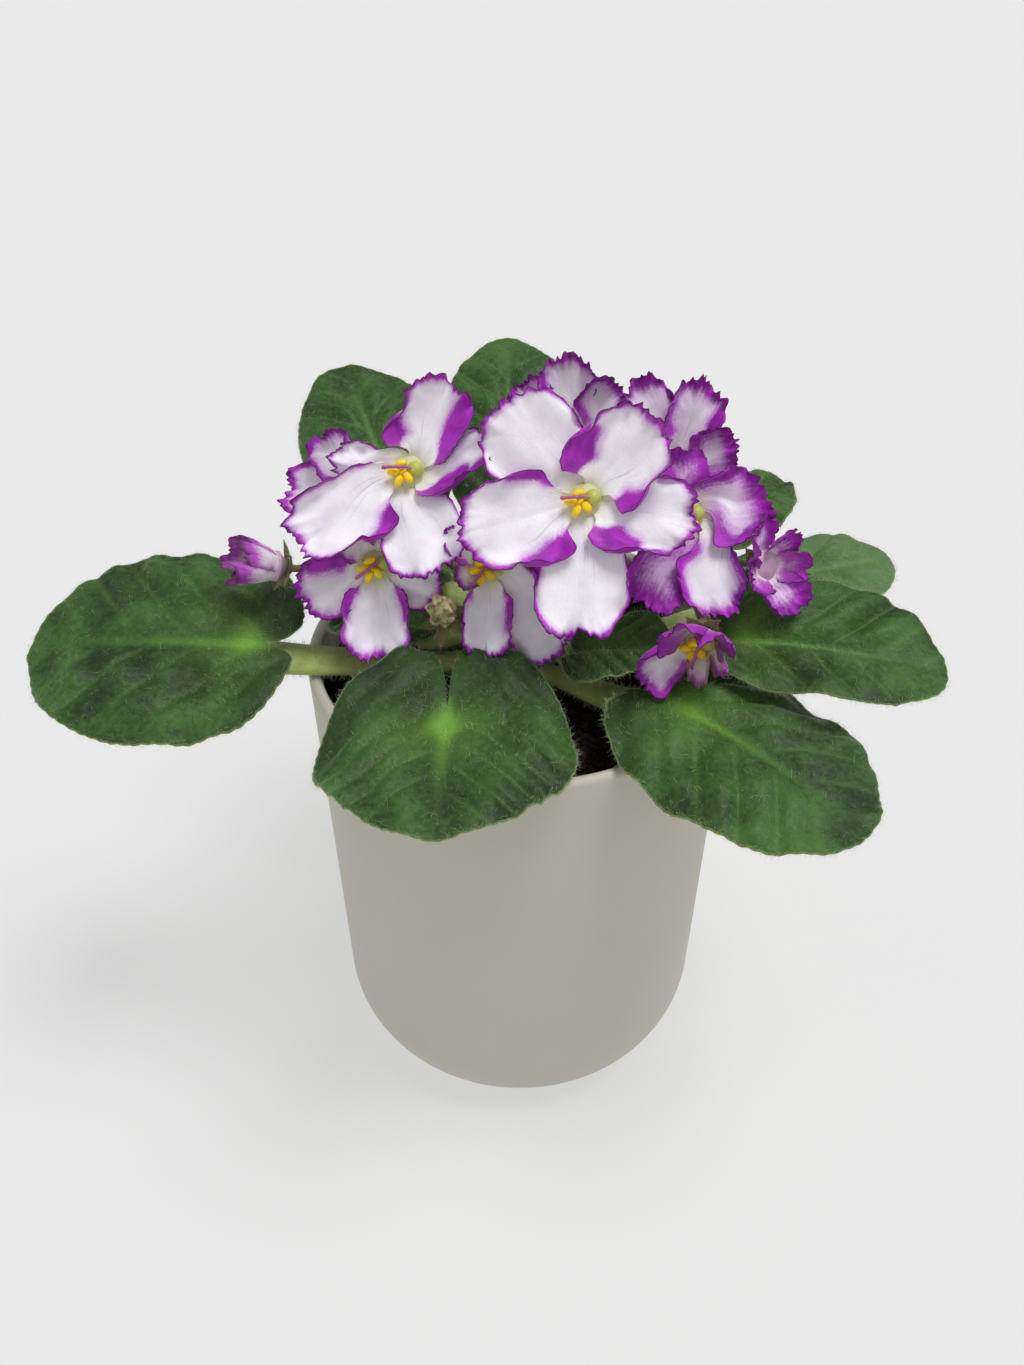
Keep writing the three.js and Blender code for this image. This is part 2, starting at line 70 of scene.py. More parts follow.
def smooth(value: Array | float, low: float, high: float) -> Array:
    """A soft step from 0 at low to 1 at high."""
    share = np.clip((np.asarray(value, float) - low) / (high - low), 0, 1)
    return share * share * (3 - 2 * share)


def mix(start: Any, end: Any, share: Any) -> Any:
    """The value at a share of the way from start to end."""
    return start + (end - start) * share


def unit(vectors: Array) -> Array:
    """The same directions with a length of one."""
    return vectors / np.maximum(np.linalg.norm(vectors, axis=-1, keepdims=True), 1e-12)


def ripple(place: Array, waves: Sequence[int], seed: int) -> Array:
    """A sum of sine waves round a full turn.

    Args:
        place: angles round the turn.
        waves: how many times each wave goes up and down in a turn.
        seed: fixes the phase of each wave.

    Returns:
        A height between about -1 and 1 at each angle.
    """
    phases = np.random.default_rng(seed).uniform(0, TURN, len(waves))
    total = sum(np.sin(count * place + phase) for count, phase in zip(waves, phases))
    return total / math.sqrt(len(waves)) / 1.2


def lumps(points: Array, size: float, seed: int) -> Array:
    """Smooth random lumps in space.

    Args:
        points: places in space, with their three coordinates last.
        size: about how wide a lump is.
        seed: fixes the lumps.

    Returns:
        A height between about -1 and 1 at each place.
    """
    count = 9
    rng = np.random.default_rng(seed)
    ways = unit(rng.normal(size=(count, 3))) * rng.uniform(0.6, 1.4, (count, 1)) * TURN / (2 * size)
    return np.sin(points @ ways.T + rng.uniform(0, TURN, count)).sum(-1) / 4


def layered(points: Array, seed: int, layers: Sequence[tuple[float, float, int]]) -> Array:
    """Lumps of several sizes together: a layer has its size, its height and what it adds to the seed."""
    return sum(lumps(points, size, seed + more) * height for size, height, more in layers)


def bezier(knots: Sequence[Array], count: int) -> Array:
    """A cubic Bezier curve.

    Args:
        knots: its start, its two handles and its end.
        count: how many points to give.

    Returns:
        Points along it, one to a row.
    """
    a, b, c, d = (np.asarray(k, float) for k in knots)
    t = np.linspace(0, 1, count)[:, None]
    return a * (1 - t) ** 3 + 3 * b * t * (1 - t) ** 2 + 3 * c * t**2 * (1 - t) + d * t**3


def turned(angle: float) -> Array:
    """Three axes turned by an angle about the third one, one to a row."""
    cos, sin = math.cos(angle), math.sin(angle)
    return np.array([[cos, sin, 0.0], [-sin, cos, 0.0], [0.0, 0.0, 1.0]])


# ---------------------------------------------------------------- skins


@dataclass
class Skin:
    """A closed surface, in millimetres.

    Args:
        points: its points, one to a row.
        faces: arrays of corner numbers, with three or four to a row.
        marks: a number at each point, under the name that a finish reads it by.
    """

    points: Array
    faces: list[Array]
    marks: dict[str, Array] = field(default_factory=dict)

    def volume(self) -> float:
        """Measures the inside.

        Returns:
            Six times its volume, negative where the faces point inwards.
        """
        total = 0.0
        for face in self.faces:
            for k in range(1, face.shape[1] - 1):
                a, b, c = (self.points[face[:, i]] for i in (0, k, k + 1))
                total += float(np.einsum("ij,ij->i", a, np.cross(b, c)).sum())
        return total

    def outward(self) -> "Skin":
        """Turns the faces round if they point inwards.

        Returns:
            The same skin.
        """
        if self.volume() < 0:
            self.faces = [face[:, ::-1] for face in self.faces]
        return self


def cells(rows: int, columns: int, wrap: bool = False) -> Array:
    """The quads of a grid of points that are numbered row by row.

    Args:
        rows: number of rows.
        columns: number of points in a row.
        wrap: whether the last column is joined to the first.

    Returns:
        Corner numbers, four to a row.
    """
    across = columns if wrap else columns - 1
    row, column = np.divmod(np.arange((rows - 1) * across), across)
    beside = (column + 1) % columns
    a, b = row * columns + column, (row + 1) * columns + column
    return np.stack([a, b, (row + 1) * columns + beside, row * columns + beside], 1)


def loft(rings: Array) -> Skin:
    """A closed skin over rings of points, with a fan over each end.

    Args:
        rings: the points, shaped (rings, points, 3).

    Returns:
        The skin, with its faces pointing out.
    """
    rows, around = rings.shape[:2]
    fan = np.stack([np.zeros(around - 2, int), np.arange(2, around), np.arange(1, around - 1)], 1)
    faces = [cells(rows, around, wrap=True)[:, ::-1], fan, fan[:, ::-1] + (rows - 1) * around]
    return Skin(rings.reshape(-1, 3), faces).outward()


def lathe(profile: Sequence[tuple[float, float]], around: int) -> Skin:
    """A turned skin.

    Args:
        profile: (radius, height) points from the bottom of the axis, out, up and back to the axis.
        around: number of points round it.

    Returns:
        The skin, with its faces pointing out.
    """
    turns = np.arange(around) * TURN / around
    radius, height = np.array(profile[1:-1]).T
    x, y = np.outer(radius, np.cos(turns)), np.outer(radius, np.sin(turns))
    body = np.stack([x, y, np.repeat(height[:, None], around, 1)], -1).reshape(-1, 3)
    n, last = len(body), (len(radius) - 1) * around
    ends = np.array([[0, 0, profile[0][1]], [0, 0, profile[-1][1]]])
    here = np.arange(around)
    beside = (here + 1) % around
    caps = [
        np.stack([np.full(around, n), beside, here], 1),
        np.stack([np.full(around, n + 1), here + last, beside + last], 1),
    ]
    quads = cells(len(radius), around, wrap=True)
    return Skin(np.concatenate([body, ends]), [quads[:, ::-1], *caps]).outward()


def sheet(top: Array, below: Array, quads: list[Array], rim: Array, marks: dict[str, Array]) -> Skin:
    """A thin closed skin: an upper sheet, a lower one and the rim between them.

    Args:
        top: points of the upper sheet.
        below: the same points on the lower sheet.
        quads: faces of the upper sheet.
        rim: the upper sheet's border points, in the direction that its faces run round it.
        marks: numbers at the upper points, which the lower ones share. "under" is added.

    Returns:
        The skin, with its faces pointing out.
    """
    n = len(top)
    following = np.roll(rim, -1)
    faces = [*quads, *(q[:, ::-1] + n for q in quads), np.stack([rim, rim + n, following + n, following], 1)]
    both = {name: np.concatenate([value, value]) for name, value in marks.items()}
    both["under"] = np.repeat([0.0, 1.0], n)
    return Skin(np.concatenate([top, below]), faces, both).outward()


def patch(top: Array, below: Array, shape: tuple[int, int], marks: dict[str, Array]) -> Skin:
    """A thin closed skin between two grids of points that are numbered row by row.

    Args:
        top: points of the upper grid, one to a row.
        below: the same points on the lower grid.
        shape: the grid's rows and columns.
        marks: numbers at the upper points, which the lower ones share.

    Returns:
        The skin, with its faces pointing out.
    """
    spots = np.arange(shape[0] * shape[1]).reshape(shape)
    rim = np.concatenate([spots[0, :0:-1], spots[:-1, 0], spots[-1, :-1], spots[:0:-1, -1]])
    return sheet(top, below, [cells(*shape)], rim, marks)


def tube(path: Array, high: Array, wide: Array, around: int) -> Skin:
    """A bar along a path with an oval section that keeps its broad side level.

    Args:
        path: points of its centreline.
        high: half of its height at each point.
        wide: half of its width at each point.
        around: number of points round it.

    Returns:
        The bar, closed at both ends.
    """
    ahead = unit(np.gradient(path, axis=0))
    side = np.cross(UP, ahead[0])
    side = side if np.linalg.norm(side) > 0.05 else np.array([1.0, 0, 0])
    rings = []
    for k, place in enumerate(path):
        side = unit(side - ahead[k] * (side @ ahead[k]))
        above = np.cross(ahead[k], side)
        turns = np.arange(around)[:, None] * TURN / around
        rings.append(place + above * np.cos(turns) * high[k] + side * np.sin(turns) * wide[k])
    return loft(np.array(rings))


def ball(centre: Array, axes: Array, radii: Sequence[float], steps: int = 12) -> Skin:
    """An egg shape.

    Args:
        centre: its middle.
        axes: its three axes, one to a row.
        radii: its radius along each axis.
        steps: number of bands from pole to pole.

    Returns:
        The egg shape, with a small flat cap at each pole.
    """
    rows = np.linspace(0, math.pi, steps + 1)[1:-1]
    turns = np.arange(2 * steps) * TURN / (2 * steps)
    rings = np.stack([
        np.outer(np.sin(rows), np.cos(turns)), np.outer(np.sin(rows), np.sin(turns)),
        np.repeat(np.cos(rows)[:, None], 2 * steps, 1),
    ], -1)
    return loft(centre + (rings * np.array(radii)) @ axes)


def make_piece(name: str, skins: Sequence[Skin], material: bpy.types.Material) -> bpy.types.Object:
    """Makes one smooth-shaded object from several skins.

    Args:
        name: its name.
        skins: its shapes, in millimetres. Their marks become attributes.
        material: its finish.

    Returns:
        The object, in metres.
    """
    points = np.concatenate([skin.points for skin in skins]) * MM
    starts = np.cumsum([0] + [len(skin.points) for skin in skins])
    faces: list[list[int]] = []
    for skin, start in zip(skins, starts):
        for face in skin.faces:
            faces.extend((face + start).tolist())
    mesh = bpy.data.meshes.new(name)
    mesh.from_pydata(points.tolist(), [], faces)
    for mark in sorted({mark for skin in skins for mark in skin.marks}):
        values = [skin.marks.get(mark, np.zeros(len(skin.points))) for skin in skins]
        attribute = mesh.attributes.new(mark, "FLOAT", "POINT")
        attribute.data.foreach_set("value", np.concatenate(values).astype(np.float32))
    mesh.polygons.foreach_set("use_smooth", [True] * len(faces))
    mesh.materials.append(material)
    piece = bpy.data.objects.new(name, mesh)
    bpy.context.scene.collection.objects.link(piece)
    return piece


def settle(piece: bpy.types.Object, slot: str, *nodes: str) -> bpy.types.Object:
    """Puts a finished piece on the plant, where it rides on the one body.

    Args:
        piece: the piece.
        slot: the kind of finish that it has. It is not used.
        nodes: the solids that it stands for.

    Returns:
        The piece.
    """
    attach(piece, "root")
    if nodes:
        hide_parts(*nodes)
    log.info("%s: %d faces", piece.name, len(piece.data.polygons))
    return piece


# ---------------------------------------------------------------- node trees


class Value:
    """A number that comes out of a node, which Python's operators can work on."""

    def __init__(self, board: "Board", socket: bpy.types.NodeSocket) -> None:
        """Wraps an output socket of a board's tree."""
        self.board = board
        self.socket = socket

    def _with(self, operation: str, first: Any, second: Any) -> "Value":
        """A Math node's result."""
        return self.board.node("ShaderNodeMath", {"operation": operation}, {0: first, 1: second})

    def __add__(self, other: Any) -> "Value":
        """Sum."""
        return self._with("ADD", self, other)

    def __sub__(self, other: Any) -> "Value":
        """Difference."""
        return self._with("SUBTRACT", self, other)

    def __rsub__(self, other: Any) -> "Value":
        """Difference from a number."""
        return self._with("SUBTRACT", other, self)

    def __mul__(self, other: Any) -> "Value":
        """Product."""
        return self._with("MULTIPLY", self, other)

    __radd__ = __add__
    __rmul__ = __mul__


class Board:
    """A node tree, with one way to add any node to it."""

    def __init__(self, tree: bpy.types.NodeTree) -> None:
        """Works on an empty or a filled tree."""
        self.tree = tree

    def node(self, kind: str, settings: dict[str, Any] | None = None,
             inputs: dict[str | int, Any] | None = None, output: str | int = 0) -> Value:
        """Adds a node.

        Args:
            kind: the node's type.
            settings: its properties, such as a Math node's operation, which are set first.
            inputs: a value or a link for each input socket, by identifier or place.
            output: the output socket to give back, by identifier or place.

        Returns:
            The chosen output.
        """
        made = self.tree.nodes.new(kind)
        for name, value in (settings or {}).items():
            setattr(made, name, value)
        for key, value in (inputs or {}).items():
            socket = self._socket(made.inputs, key)
            if isinstance(value, Value):
                self.tree.links.new(value.socket, socket)
            elif isinstance(value, tuple) and socket.type == "RGBA":
                socket.default_value = (*value[:3], 1.0)
            else:
                socket.default_value = value
        return Value(self, self._socket(made.outputs, output) if made.outputs else None)

    @staticmethod
    def _socket(sockets: Any, key: str | int) -> bpy.types.NodeSocket:
        """Finds a socket.

        Args:
            sockets: a node's inputs or outputs.
            key: the socket's identifier, its name or its place.

        Returns:
            The socket.

        Raises:
            KeyError: if there is none.
        """
        if isinstance(key, int):
            return sockets[key]
        found = [s for s in sockets if s.identifier == key] or [s for s in sockets if s.name == key]
        if not found:
            raise KeyError(f"no socket {key!r} among {[s.identifier for s in sockets]}")
        return found[0]


def colour(code: str) -> Colour:
    """The linear colour of a six-digit screen colour."""
    parts = [int(code[i:i + 2], 16) / 255 for i in (0, 2, 4)]
    return tuple(c / 12.92 if c <= 0.04045 else ((c + 0.055) / 1.055) ** 2.4 for c in parts)


class Paint(Board):
    """A material's tree, with what the finishes share."""

    def __init__(self, name: str) -> None:
        """Makes an empty material.

        Args:
            name: the material's name.
        """
        self.material = bpy.data.materials.new(name)
        self.material.use_nodes = True
        self.material.node_tree.nodes.clear()
        super().__init__(self.material.node_tree)
        self.place = self.node("ShaderNodeTexCoord", output="Object")

    def mark(self, name: str) -> Value:
        """A number that the piece carries at its points."""
        return self.node("ShaderNodeAttribute", {"attribute_name": name}, output="Fac")

    def noise(self, size: float, detail: float = 3.0, at: Value | None = None) -> Value:
        """Soft noise from 0 to 1 with lumps of about a size in metres."""
        inputs = {"Vector": at or self.place, "Scale": 1 / size, "Detail": detail}
        return self.node("ShaderNodeTexNoise", {}, inputs, "Fac")

    def step(self, value: Value, low: float, high: float) -> Value:
        """A soft step from 0 at low to 1 at high."""
        settings = {"interpolation_type": "SMOOTHSTEP"}
        return self.node("ShaderNodeMapRange", settings, {"Value": value, "From Min": low, "From Max": high})

    def blend(self, share: Value, first: Value | Colour, second: Value | Colour) -> Value:
        """The first colour where share is 0 and the second where it is 1."""
        inputs = {"Factor_Float": share, "A_Color": first, "B_Color": second}
        return self.node("ShaderNodeMix", {"data_type": "RGBA"}, inputs, "Result_Color")

    def bump(self, height: Value, depth: float) -> Value:
        """A Normal from a height of 0 to 1, with its depth in metres."""
        inputs = {"Height": height, "Distance": depth, "Strength": 1.0}
        return self.node("ShaderNodeBump", {}, inputs, "Normal")

    def finish(self, **inputs: Any) -> bpy.types.Material:
        """Ends the tree with a Principled shader.

        Args:
            inputs: values or links for the shader's inputs, by name, with _ for a space.

        Returns:
            The material.
        """
        named = {name.replace("_", " "): value for name, value in inputs.items()}
        shader = self.node("ShaderNodeBsdfPrincipled", {}, named, "BSDF")
        self.node("ShaderNodeOutputMaterial", {}, {"Surface": shader})
        return self.material


# ---------------------------------------------------------------- finishes


@dataclass(frozen=True)
class PotFinish:
    """Smooth matte ceramic in a warm grey, faintly mottled.

    Args:
        base: its main colour.
        shade: the colour of its clouds.
        roughness: its least roughness.
        cloud: about how wide its clouds are, in metres.
        grain: the same for its grain.
        depth: how deep the grain is, in metres.
    """

    base: Colour = colour("c3bfb2")
    shade: Colour = colour("b9b6aa")
    roughness: float = 0.48
    cloud: float = 0.06
    grain: float = 0.0006
    depth: float = 0.00002

    def material(self) -> bpy.types.Material:
        """Builds it.

        Returns:
            The pot's material.
        """
        paint = Paint("pot_ceramic")
        cloud = paint.noise(self.cloud, 2)
        grain = paint.noise(self.grain, 2)
        tone = paint.blend(cloud, self.base, self.shade)
        rough = grain * 0.08 + self.roughness
        return paint.finish(Base_Color=tone, Roughness=rough, Normal=paint.bump(grain, self.depth),
                            Specular_IOR_Level=0.4)


@dataclass(frozen=True)
class SoilFinish:
    """Damp dark potting mix.

    Args:
        dark: the colour between the crumbs.
        light: the colour of the palest crumbs.
        crumb: about how wide a crumb is, in metres.
        fibre: the same for the finer fibres.
        depth: how deep the grain is, in metres.
    """

    dark: Colour = colour("130c09")
    light: Colour = colour("4a3222")
    crumb: float = 0.0022
    fibre: float = 0.0007
    depth: float = 0.0008

    def material(self) -> bpy.types.Material:
        """Builds it.

        Returns:
            The potting mix's material.
        """
        paint = Paint("soil_mix")
        crumbs = paint.noise(self.crumb, 4)
        fibres = paint.noise(self.fibre, 3)
        share = paint.step(crumbs * 0.7 + fibres * 0.3, 0.45, 0.72)
        tone = paint.blend(share, self.dark, self.light)
        return paint.finish(Base_Color=tone, Roughness=0.92, Normal=paint.bump(crumbs + fibres, self.depth),
                            Specular_IOR_Level=0.25)


@dataclass(frozen=True)
class BladeFinish:
    """Velvety leaf: dark green, lighter between the veins, with a painted highlight at the stalk and painted
    shade at the notch, pale underneath.

    Args:
        deep: the darker of its two clouded greens.
        lit: the lighter one.
        vein: the colour on the veins.
        glow: the painted highlight at the stalk.
        shade: the painted shade behind the stalk, over the lobes and along the notch.
        rim: the pale line along the edge.
        under: the underside.
        pale: the green of a leaf that catches the light.
        patch: about how wide the clouds are, in metres.
        mottle: the same for the finer mottling.
        fuzz: the same for the velvet's grain.
        depth: how deep the mottling and the grain are, in metres.
    """

    deep: Colour = colour("132a08")
    lit: Colour = colour("41682a")
    vein: Colour = colour("577f3c")
    glow: Colour = colour("74a838")
    shade: Colour = colour("0f2006")
    rim: Colour = colour("86a05e")
    under: Colour = colour("8b9a58")
    pale: Colour = colour("7a9c64")
    patch: float = 0.03
    mottle: float = 0.0017
    fuzz: float = 0.0006
    depth: float = 0.0005

    def material(self) -> bpy.types.Material:
        """Builds it.

        Returns:
            The blades' material.
        """
        paint = Paint("leaf_blade")
        patches = paint.noise(self.patch, 4)
        mottle = paint.noise(self.mottle, 4)
        fuzz = paint.noise(self.fuzz, 2)
        # The quilting's crests are painted a little lighter and its dips darker: painted relief shading.
        share = paint.step(patches * 0.6 + mottle * 0.4 + paint.mark("crest") * 0.08, 0.28, 0.72)
        tone = paint.blend(share, self.deep, self.lit)
        tone = paint.blend(paint.mark("vein") * 0.3, tone, self.vein)
        tone = paint.blend(paint.mark("pale"), tone, self.pale)
        # Painted shade over the lobes behind the stalk and along the notch.
        tone = paint.blend(paint.mark("hollow"), tone, self.shade)
        # Painted highlight at the stalk, partly the real paler midrib.
        tone = paint.blend(paint.mark("glow"), tone, self.glow)
        tone = paint.blend((1 - paint.step(paint.mark("edge"), 0.1, 0.55)) * 0.5, tone, self.rim)
        tone = paint.blend(paint.mark("under"), tone, self.under)
        height = mottle * 0.7 + fuzz * 0.3
        return paint.finish(Base_Color=tone, Roughness=0.55, Normal=paint.bump(height, self.depth),
                            Specular_IOR_Level=0.35, Sheen_Weight=0.13, Sheen_Roughness=0.35,
                            Sheen_Tint=(0.85, 1.0, 0.75))


@dataclass(frozen=True)
class GreenFinish:
    """Soft plant skin in two clouded tones, for stalks, the crown and flower stems.

    Args:
        name: the material's name.
        base: its main colour.
        dark: the colour of its clouds.
        size: about how wide the clouds are, in metres.
        grain: the same for its grain.
        depth: how deep the grain is, in metres.
    """

    name: str
    base: Colour
    dark: Colour
    size: float = 0.004
    grain: float = 0.0005
    depth: float = 0.00015

    def material(self) -> bpy.types.Material:
        """Builds it.

        Returns:
            The material.
        """
        paint = Paint(self.name)
        cloud = paint.noise(self.size, 3)
        grain = paint.noise(self.grain, 2)
        tone = paint.blend(paint.step(cloud, 0.35, 0.7), self.base, self.dark)
        return paint.finish(Base_Color=tone, Roughness=0.55, Normal=paint.bump(grain, self.depth),
                            Specular_IOR_Level=0.35, Sheen_Weight=0.25, Sheen_Roughness=0.5)


@dataclass(frozen=True)
class PetalFinish:
    """White petal with faint veins, a feathery purple margin and a thin dark outline.

    Args:
        white: its main colour.
        cool: the colour of its faint clouds.
        purple: the margin's main colour.
        deep: the margin's darker colour.
        blush: the soft tint where the margin fades out.
        outline: the thin line along the edge.
        throat: the petal's root.
        line: the faint veins.
        frost: about how wide the finest grain is, in metres.
        cloud: the same for the clouds.
        depth: how deep the grain is, in metres.
    """

    white: Colour = colour("f8f3f9")
    cool: Colour = colour("e3d9e9")
    purple: Colour = colour("b733c6")
    deep: Colour = colour("8c149e")
    blush: Colour = colour("cf8fda")
    outline: Colour = colour("47104f")
    throat: Colour = colour("cfcf86")
    line: Colour = colour("9c8ea6")
    frost: float = 0.0007
    cloud: float = 0.006
    depth: float = 0.00022

    def material(self) -> bpy.types.Material:
        """Builds it.

        Returns:
            The petals' material.
        """
        paint = Paint("petal")
        frost = paint.noise(self.frost, 3)
        cloud = paint.noise(self.cloud, 3)
        along = self._along(paint)
        streak = paint.noise(1.0, 3, along)
        body = paint.blend(paint.step(cloud, 0.35, 0.75) * 0.6, self.white, self.cool)
        lines = paint.step(streak, 0.58, 0.74) * (1 - paint.step(paint.mark("reach"), 0.15, 0.7))
        body = paint.blend(lines * 0.6, body, self.line)
        edge = paint.mark("margin") + (frost - 0.5) * 0.55 + (streak - 0.5) * 0.9 + (cloud - 0.5) * 0.5
        haze = 1 - paint.step(edge, 0.6, 2.1)
        solid = 1 - paint.step(edge, 0.4, 1.15)
        purple = paint.blend(paint.step(cloud + streak * 0.4, 0.5, 0.9), self.purple, self.deep)
        tone = paint.blend(haze * 0.75, body, self.blush)
        tone = paint.blend(solid, tone, purple)
        tone = paint.blend((1 - paint.step(paint.mark("edge"), 0.1, 0.42)) * 0.85, tone, self.outline)
        tone = paint.blend(paint.mark("throat"), tone, self.throat)
        height = frost * 0.5 + streak * 0.5
        return paint.finish(Base_Color=tone, Roughness=0.5, Normal=paint.bump(height, self.depth),
                            Specular_IOR_Level=0.3, Subsurface_Weight=0.12, Subsurface_Scale=0.002,
                            Sheen_Weight=0.12, Sheen_Roughness=0.4)

    @staticmethod
    def _along(paint: Paint) -> Value:
        """Makes coordinates that run out along the petal, so that noise on them makes streaks.

        Args:
            paint: the tree to work in.

        Returns:
            The coordinates.
        """
        across, reach = paint.mark("across") * 11.0, paint.mark("reach") * 1.3
        inputs = {"X": across, "Y": reach, "Z": paint.mark("number") * 7.0}
        return paint.node("ShaderNodeCombineXYZ", {}, inputs, "Vector")


@dataclass(frozen=True)
class PlainFinish:
    """A small part in two close colours, with a fine grain.

    Args:
        name: the material's name.
        base: its main colour.
        dark: the colour of its clouds.
        size: about how wide the clouds are, in metres.
        roughness: its roughness.
        depth: how deep the grain is, in metres.
    """

    name: str
    base: Colour
    dark: Colour
    size: float = 0.0012
    roughness: float = 0.5
    depth: float = 0.0001

    def material(self) -> bpy.types.Material:
        """Builds it.

        Returns:
            The material.
        """
        paint = Paint(self.name)
        cloud = paint.noise(self.size, 3)
        tone = paint.blend(paint.step(cloud, 0.38, 0.68), self.base, self.dark)
        grain = paint.noise(self.size * 0.3, 3)
        return paint.finish(Base_Color=tone, Roughness=self.roughness,
                            Normal=paint.bump(cloud + grain, self.depth))


@dataclass(frozen=True)
class PistilFinish:
    """The pistil: a yellow-green ovary and a purple style that pales towards its foot.

    Args:
        ovary: the ovary's colour.
        style: the style's colour.
        grain: about how wide the grain is, in metres.
        depth: how deep it is, in metres.
    """

    ovary: Colour = colour("b9bd5a")
    style: Colour = colour("a8568f")
    grain: float = 0.0006
    depth: float = 0.0001

    def material(self) -> bpy.types.Material:
        """Builds it.

        Returns:
            The pistils' material.
        """
        paint = Paint("pistil")
        grain = paint.noise(self.grain, 2)
        share = paint.step(paint.mark("style") + (grain - 0.5) * 0.2, 0.3, 0.7)
        tone = paint.blend(share, self.ovary, self.style)
        return paint.finish(Base_Color=tone, Roughness=0.4, Normal=paint.bump(grain, self.depth))


# ---------------------------------------------------------------- what repeats


class Scatter(Board):
    """A Geometry Nodes tree that scatters small shapes over a skin, with named inputs for their sizes."""

    def __init__(self, name: str, sizes: dict[str, float]) -> None:
        """Makes the tree's inputs: the host's mesh, its sizes, a seed and a material.

        Args:
            name: the tree's name.
            sizes: its other inputs, with their values.
        """
        super().__init__(bpy.data.node_groups.new(name, "GeometryNodeTree"))
        sockets = self.tree.interface
        sockets.new_socket("Geometry", in_out="OUTPUT", socket_type="NodeSocketGeometry")
        sockets.new_socket("Host", in_out="INPUT", socket_type="NodeSocketGeometry")
        for label in sizes:
            sockets.new_socket(label, in_out="INPUT", socket_type="NodeSocketFloat")
        sockets.new_socket("Seed", in_out="INPUT", socket_type="NodeSocketInt")
        sockets.new_socket("Finish", in_out="INPUT", socket_type="NodeSocketMaterial")
        self.sizes = sizes
        self.inlet = self.tree.nodes.new("NodeGroupInput")

    def size(self, label: str) -> Value:
        """One of the tree's inputs."""
        return Value(self, self.inlet.outputs[label])

    def points(self, density: Value) -> tuple[Value, Value]:
        """Random places on the host.

        Args:
            density: how many there are to a square metre where the host's mark "hairy" is 1.

        Returns:
            The points, and a rotation at each that stands it on the host.
        """
        hairy = self.node("GeometryNodeInputNamedAttribute", {"data_type": "FLOAT"}, {"Name": "hairy"})
        inputs = {"Mesh": self.size("Host"), "Density": density * hairy, "Seed": self.size("Seed")}
        settings = {"distribute_method": "RANDOM"}
        places = self.node("GeometryNodeDistributePointsOnFaces", settings, inputs, "Points")
        return places, Value(self, places.socket.node.outputs["Rotation"])

    def chance(self, low: Value | Point, high: Value | Point) -> Value:
        """A random vector between two others at each point."""
        inputs = {0: low, 1: high, "Seed": self.size("Seed")}
        return self.node("FunctionNodeRandomValue", {"data_type": "FLOAT_VECTOR"}, inputs, 0)

    def spun(self, rotation: Value, lean: Value) -> Value:
        """Leans a rotation over and spins it about its own axis, by chance.

        Args:
            rotation: the rotation at each point.
            lean: how far it may lean over, in radians.

        Returns:
            The new rotation.
        """
        low = self.node("ShaderNodeCombineXYZ", {}, {"X": lean * -1.0, "Y": lean * -1.0, "Z": 0.0})
        high = self.node("ShaderNodeCombineXYZ", {}, {"X": lean, "Y": lean, "Z": TURN})
        euler = self.node("FunctionNodeEulerToRotation", {}, {"Euler": self.chance(low, high)})
        return self.node("FunctionNodeRotateRotation", {"rotation_space": "LOCAL"},
                         {"Rotation": rotation, "Rotate By": euler})

    def place(self, points: Value, shape: Value, rotation: Value, scale: Value) -> None:
        """Ends the tree: the shape on each point, made real and given its finish.

        Args:
            points: where the copies go.
            shape: what is copied.
            rotation: how each copy is turned.
            scale: how large each copy is.
        """
        copies = self.node("GeometryNodeInstanceOnPoints", {}, {
            "Points": points, "Instance": shape, "Rotation": rotation, "Scale": scale})
        real = self.node("GeometryNodeRealizeInstances", {}, {"Geometry": copies})
        soft = self.node("GeometryNodeSetShadeSmooth", {}, {"Geometry": real})
        inputs = {"Geometry": soft, "Material": self.size("Finish")}
        self.node("NodeGroupOutput", {}, {0: self.node("GeometryNodeSetMaterial", {}, inputs)})

    def grow(self, name: str, host: bpy.types.Object, seed: int,
             material: bpy.types.Material) -> bpy.types.Object:
        """Runs the tree on a host's mesh.

        Args:
            name: the new piece's name.
            host: the piece to scatter on, which stays as it is.
            seed: fixes what is random.
            material: the finish of the copies.

        Returns:
            A plain mesh of the copies.
        """
        piece = bpy.data.objects.new(name, host.data)
        bpy.context.scene.collection.objects.link(piece)
        modifier = piece.modifiers.new("scatter", "NODES")
        modifier.node_group = self.tree
        values = {**self.sizes, "Seed": seed, "Finish": material}
        for item in self.tree.interface.items_tree:
            if item.in_out == "INPUT" and item.name in values:
                modifier[item.identifier] = values[item.name]
        bpy.context.view_layer.update()
        evaluated = piece.evaluated_get(bpy.context.evaluated_depsgraph_get())
        piece.data = bpy.data.meshes.new_from_object(evaluated)
        piece.modifiers.clear()
        piece.data.name = name
        piece.data.materials.clear()
        piece.data.materials.append(material)
        piece.data.polygons.foreach_set("material_index", [0] * len(piece.data.polygons))
        return piece


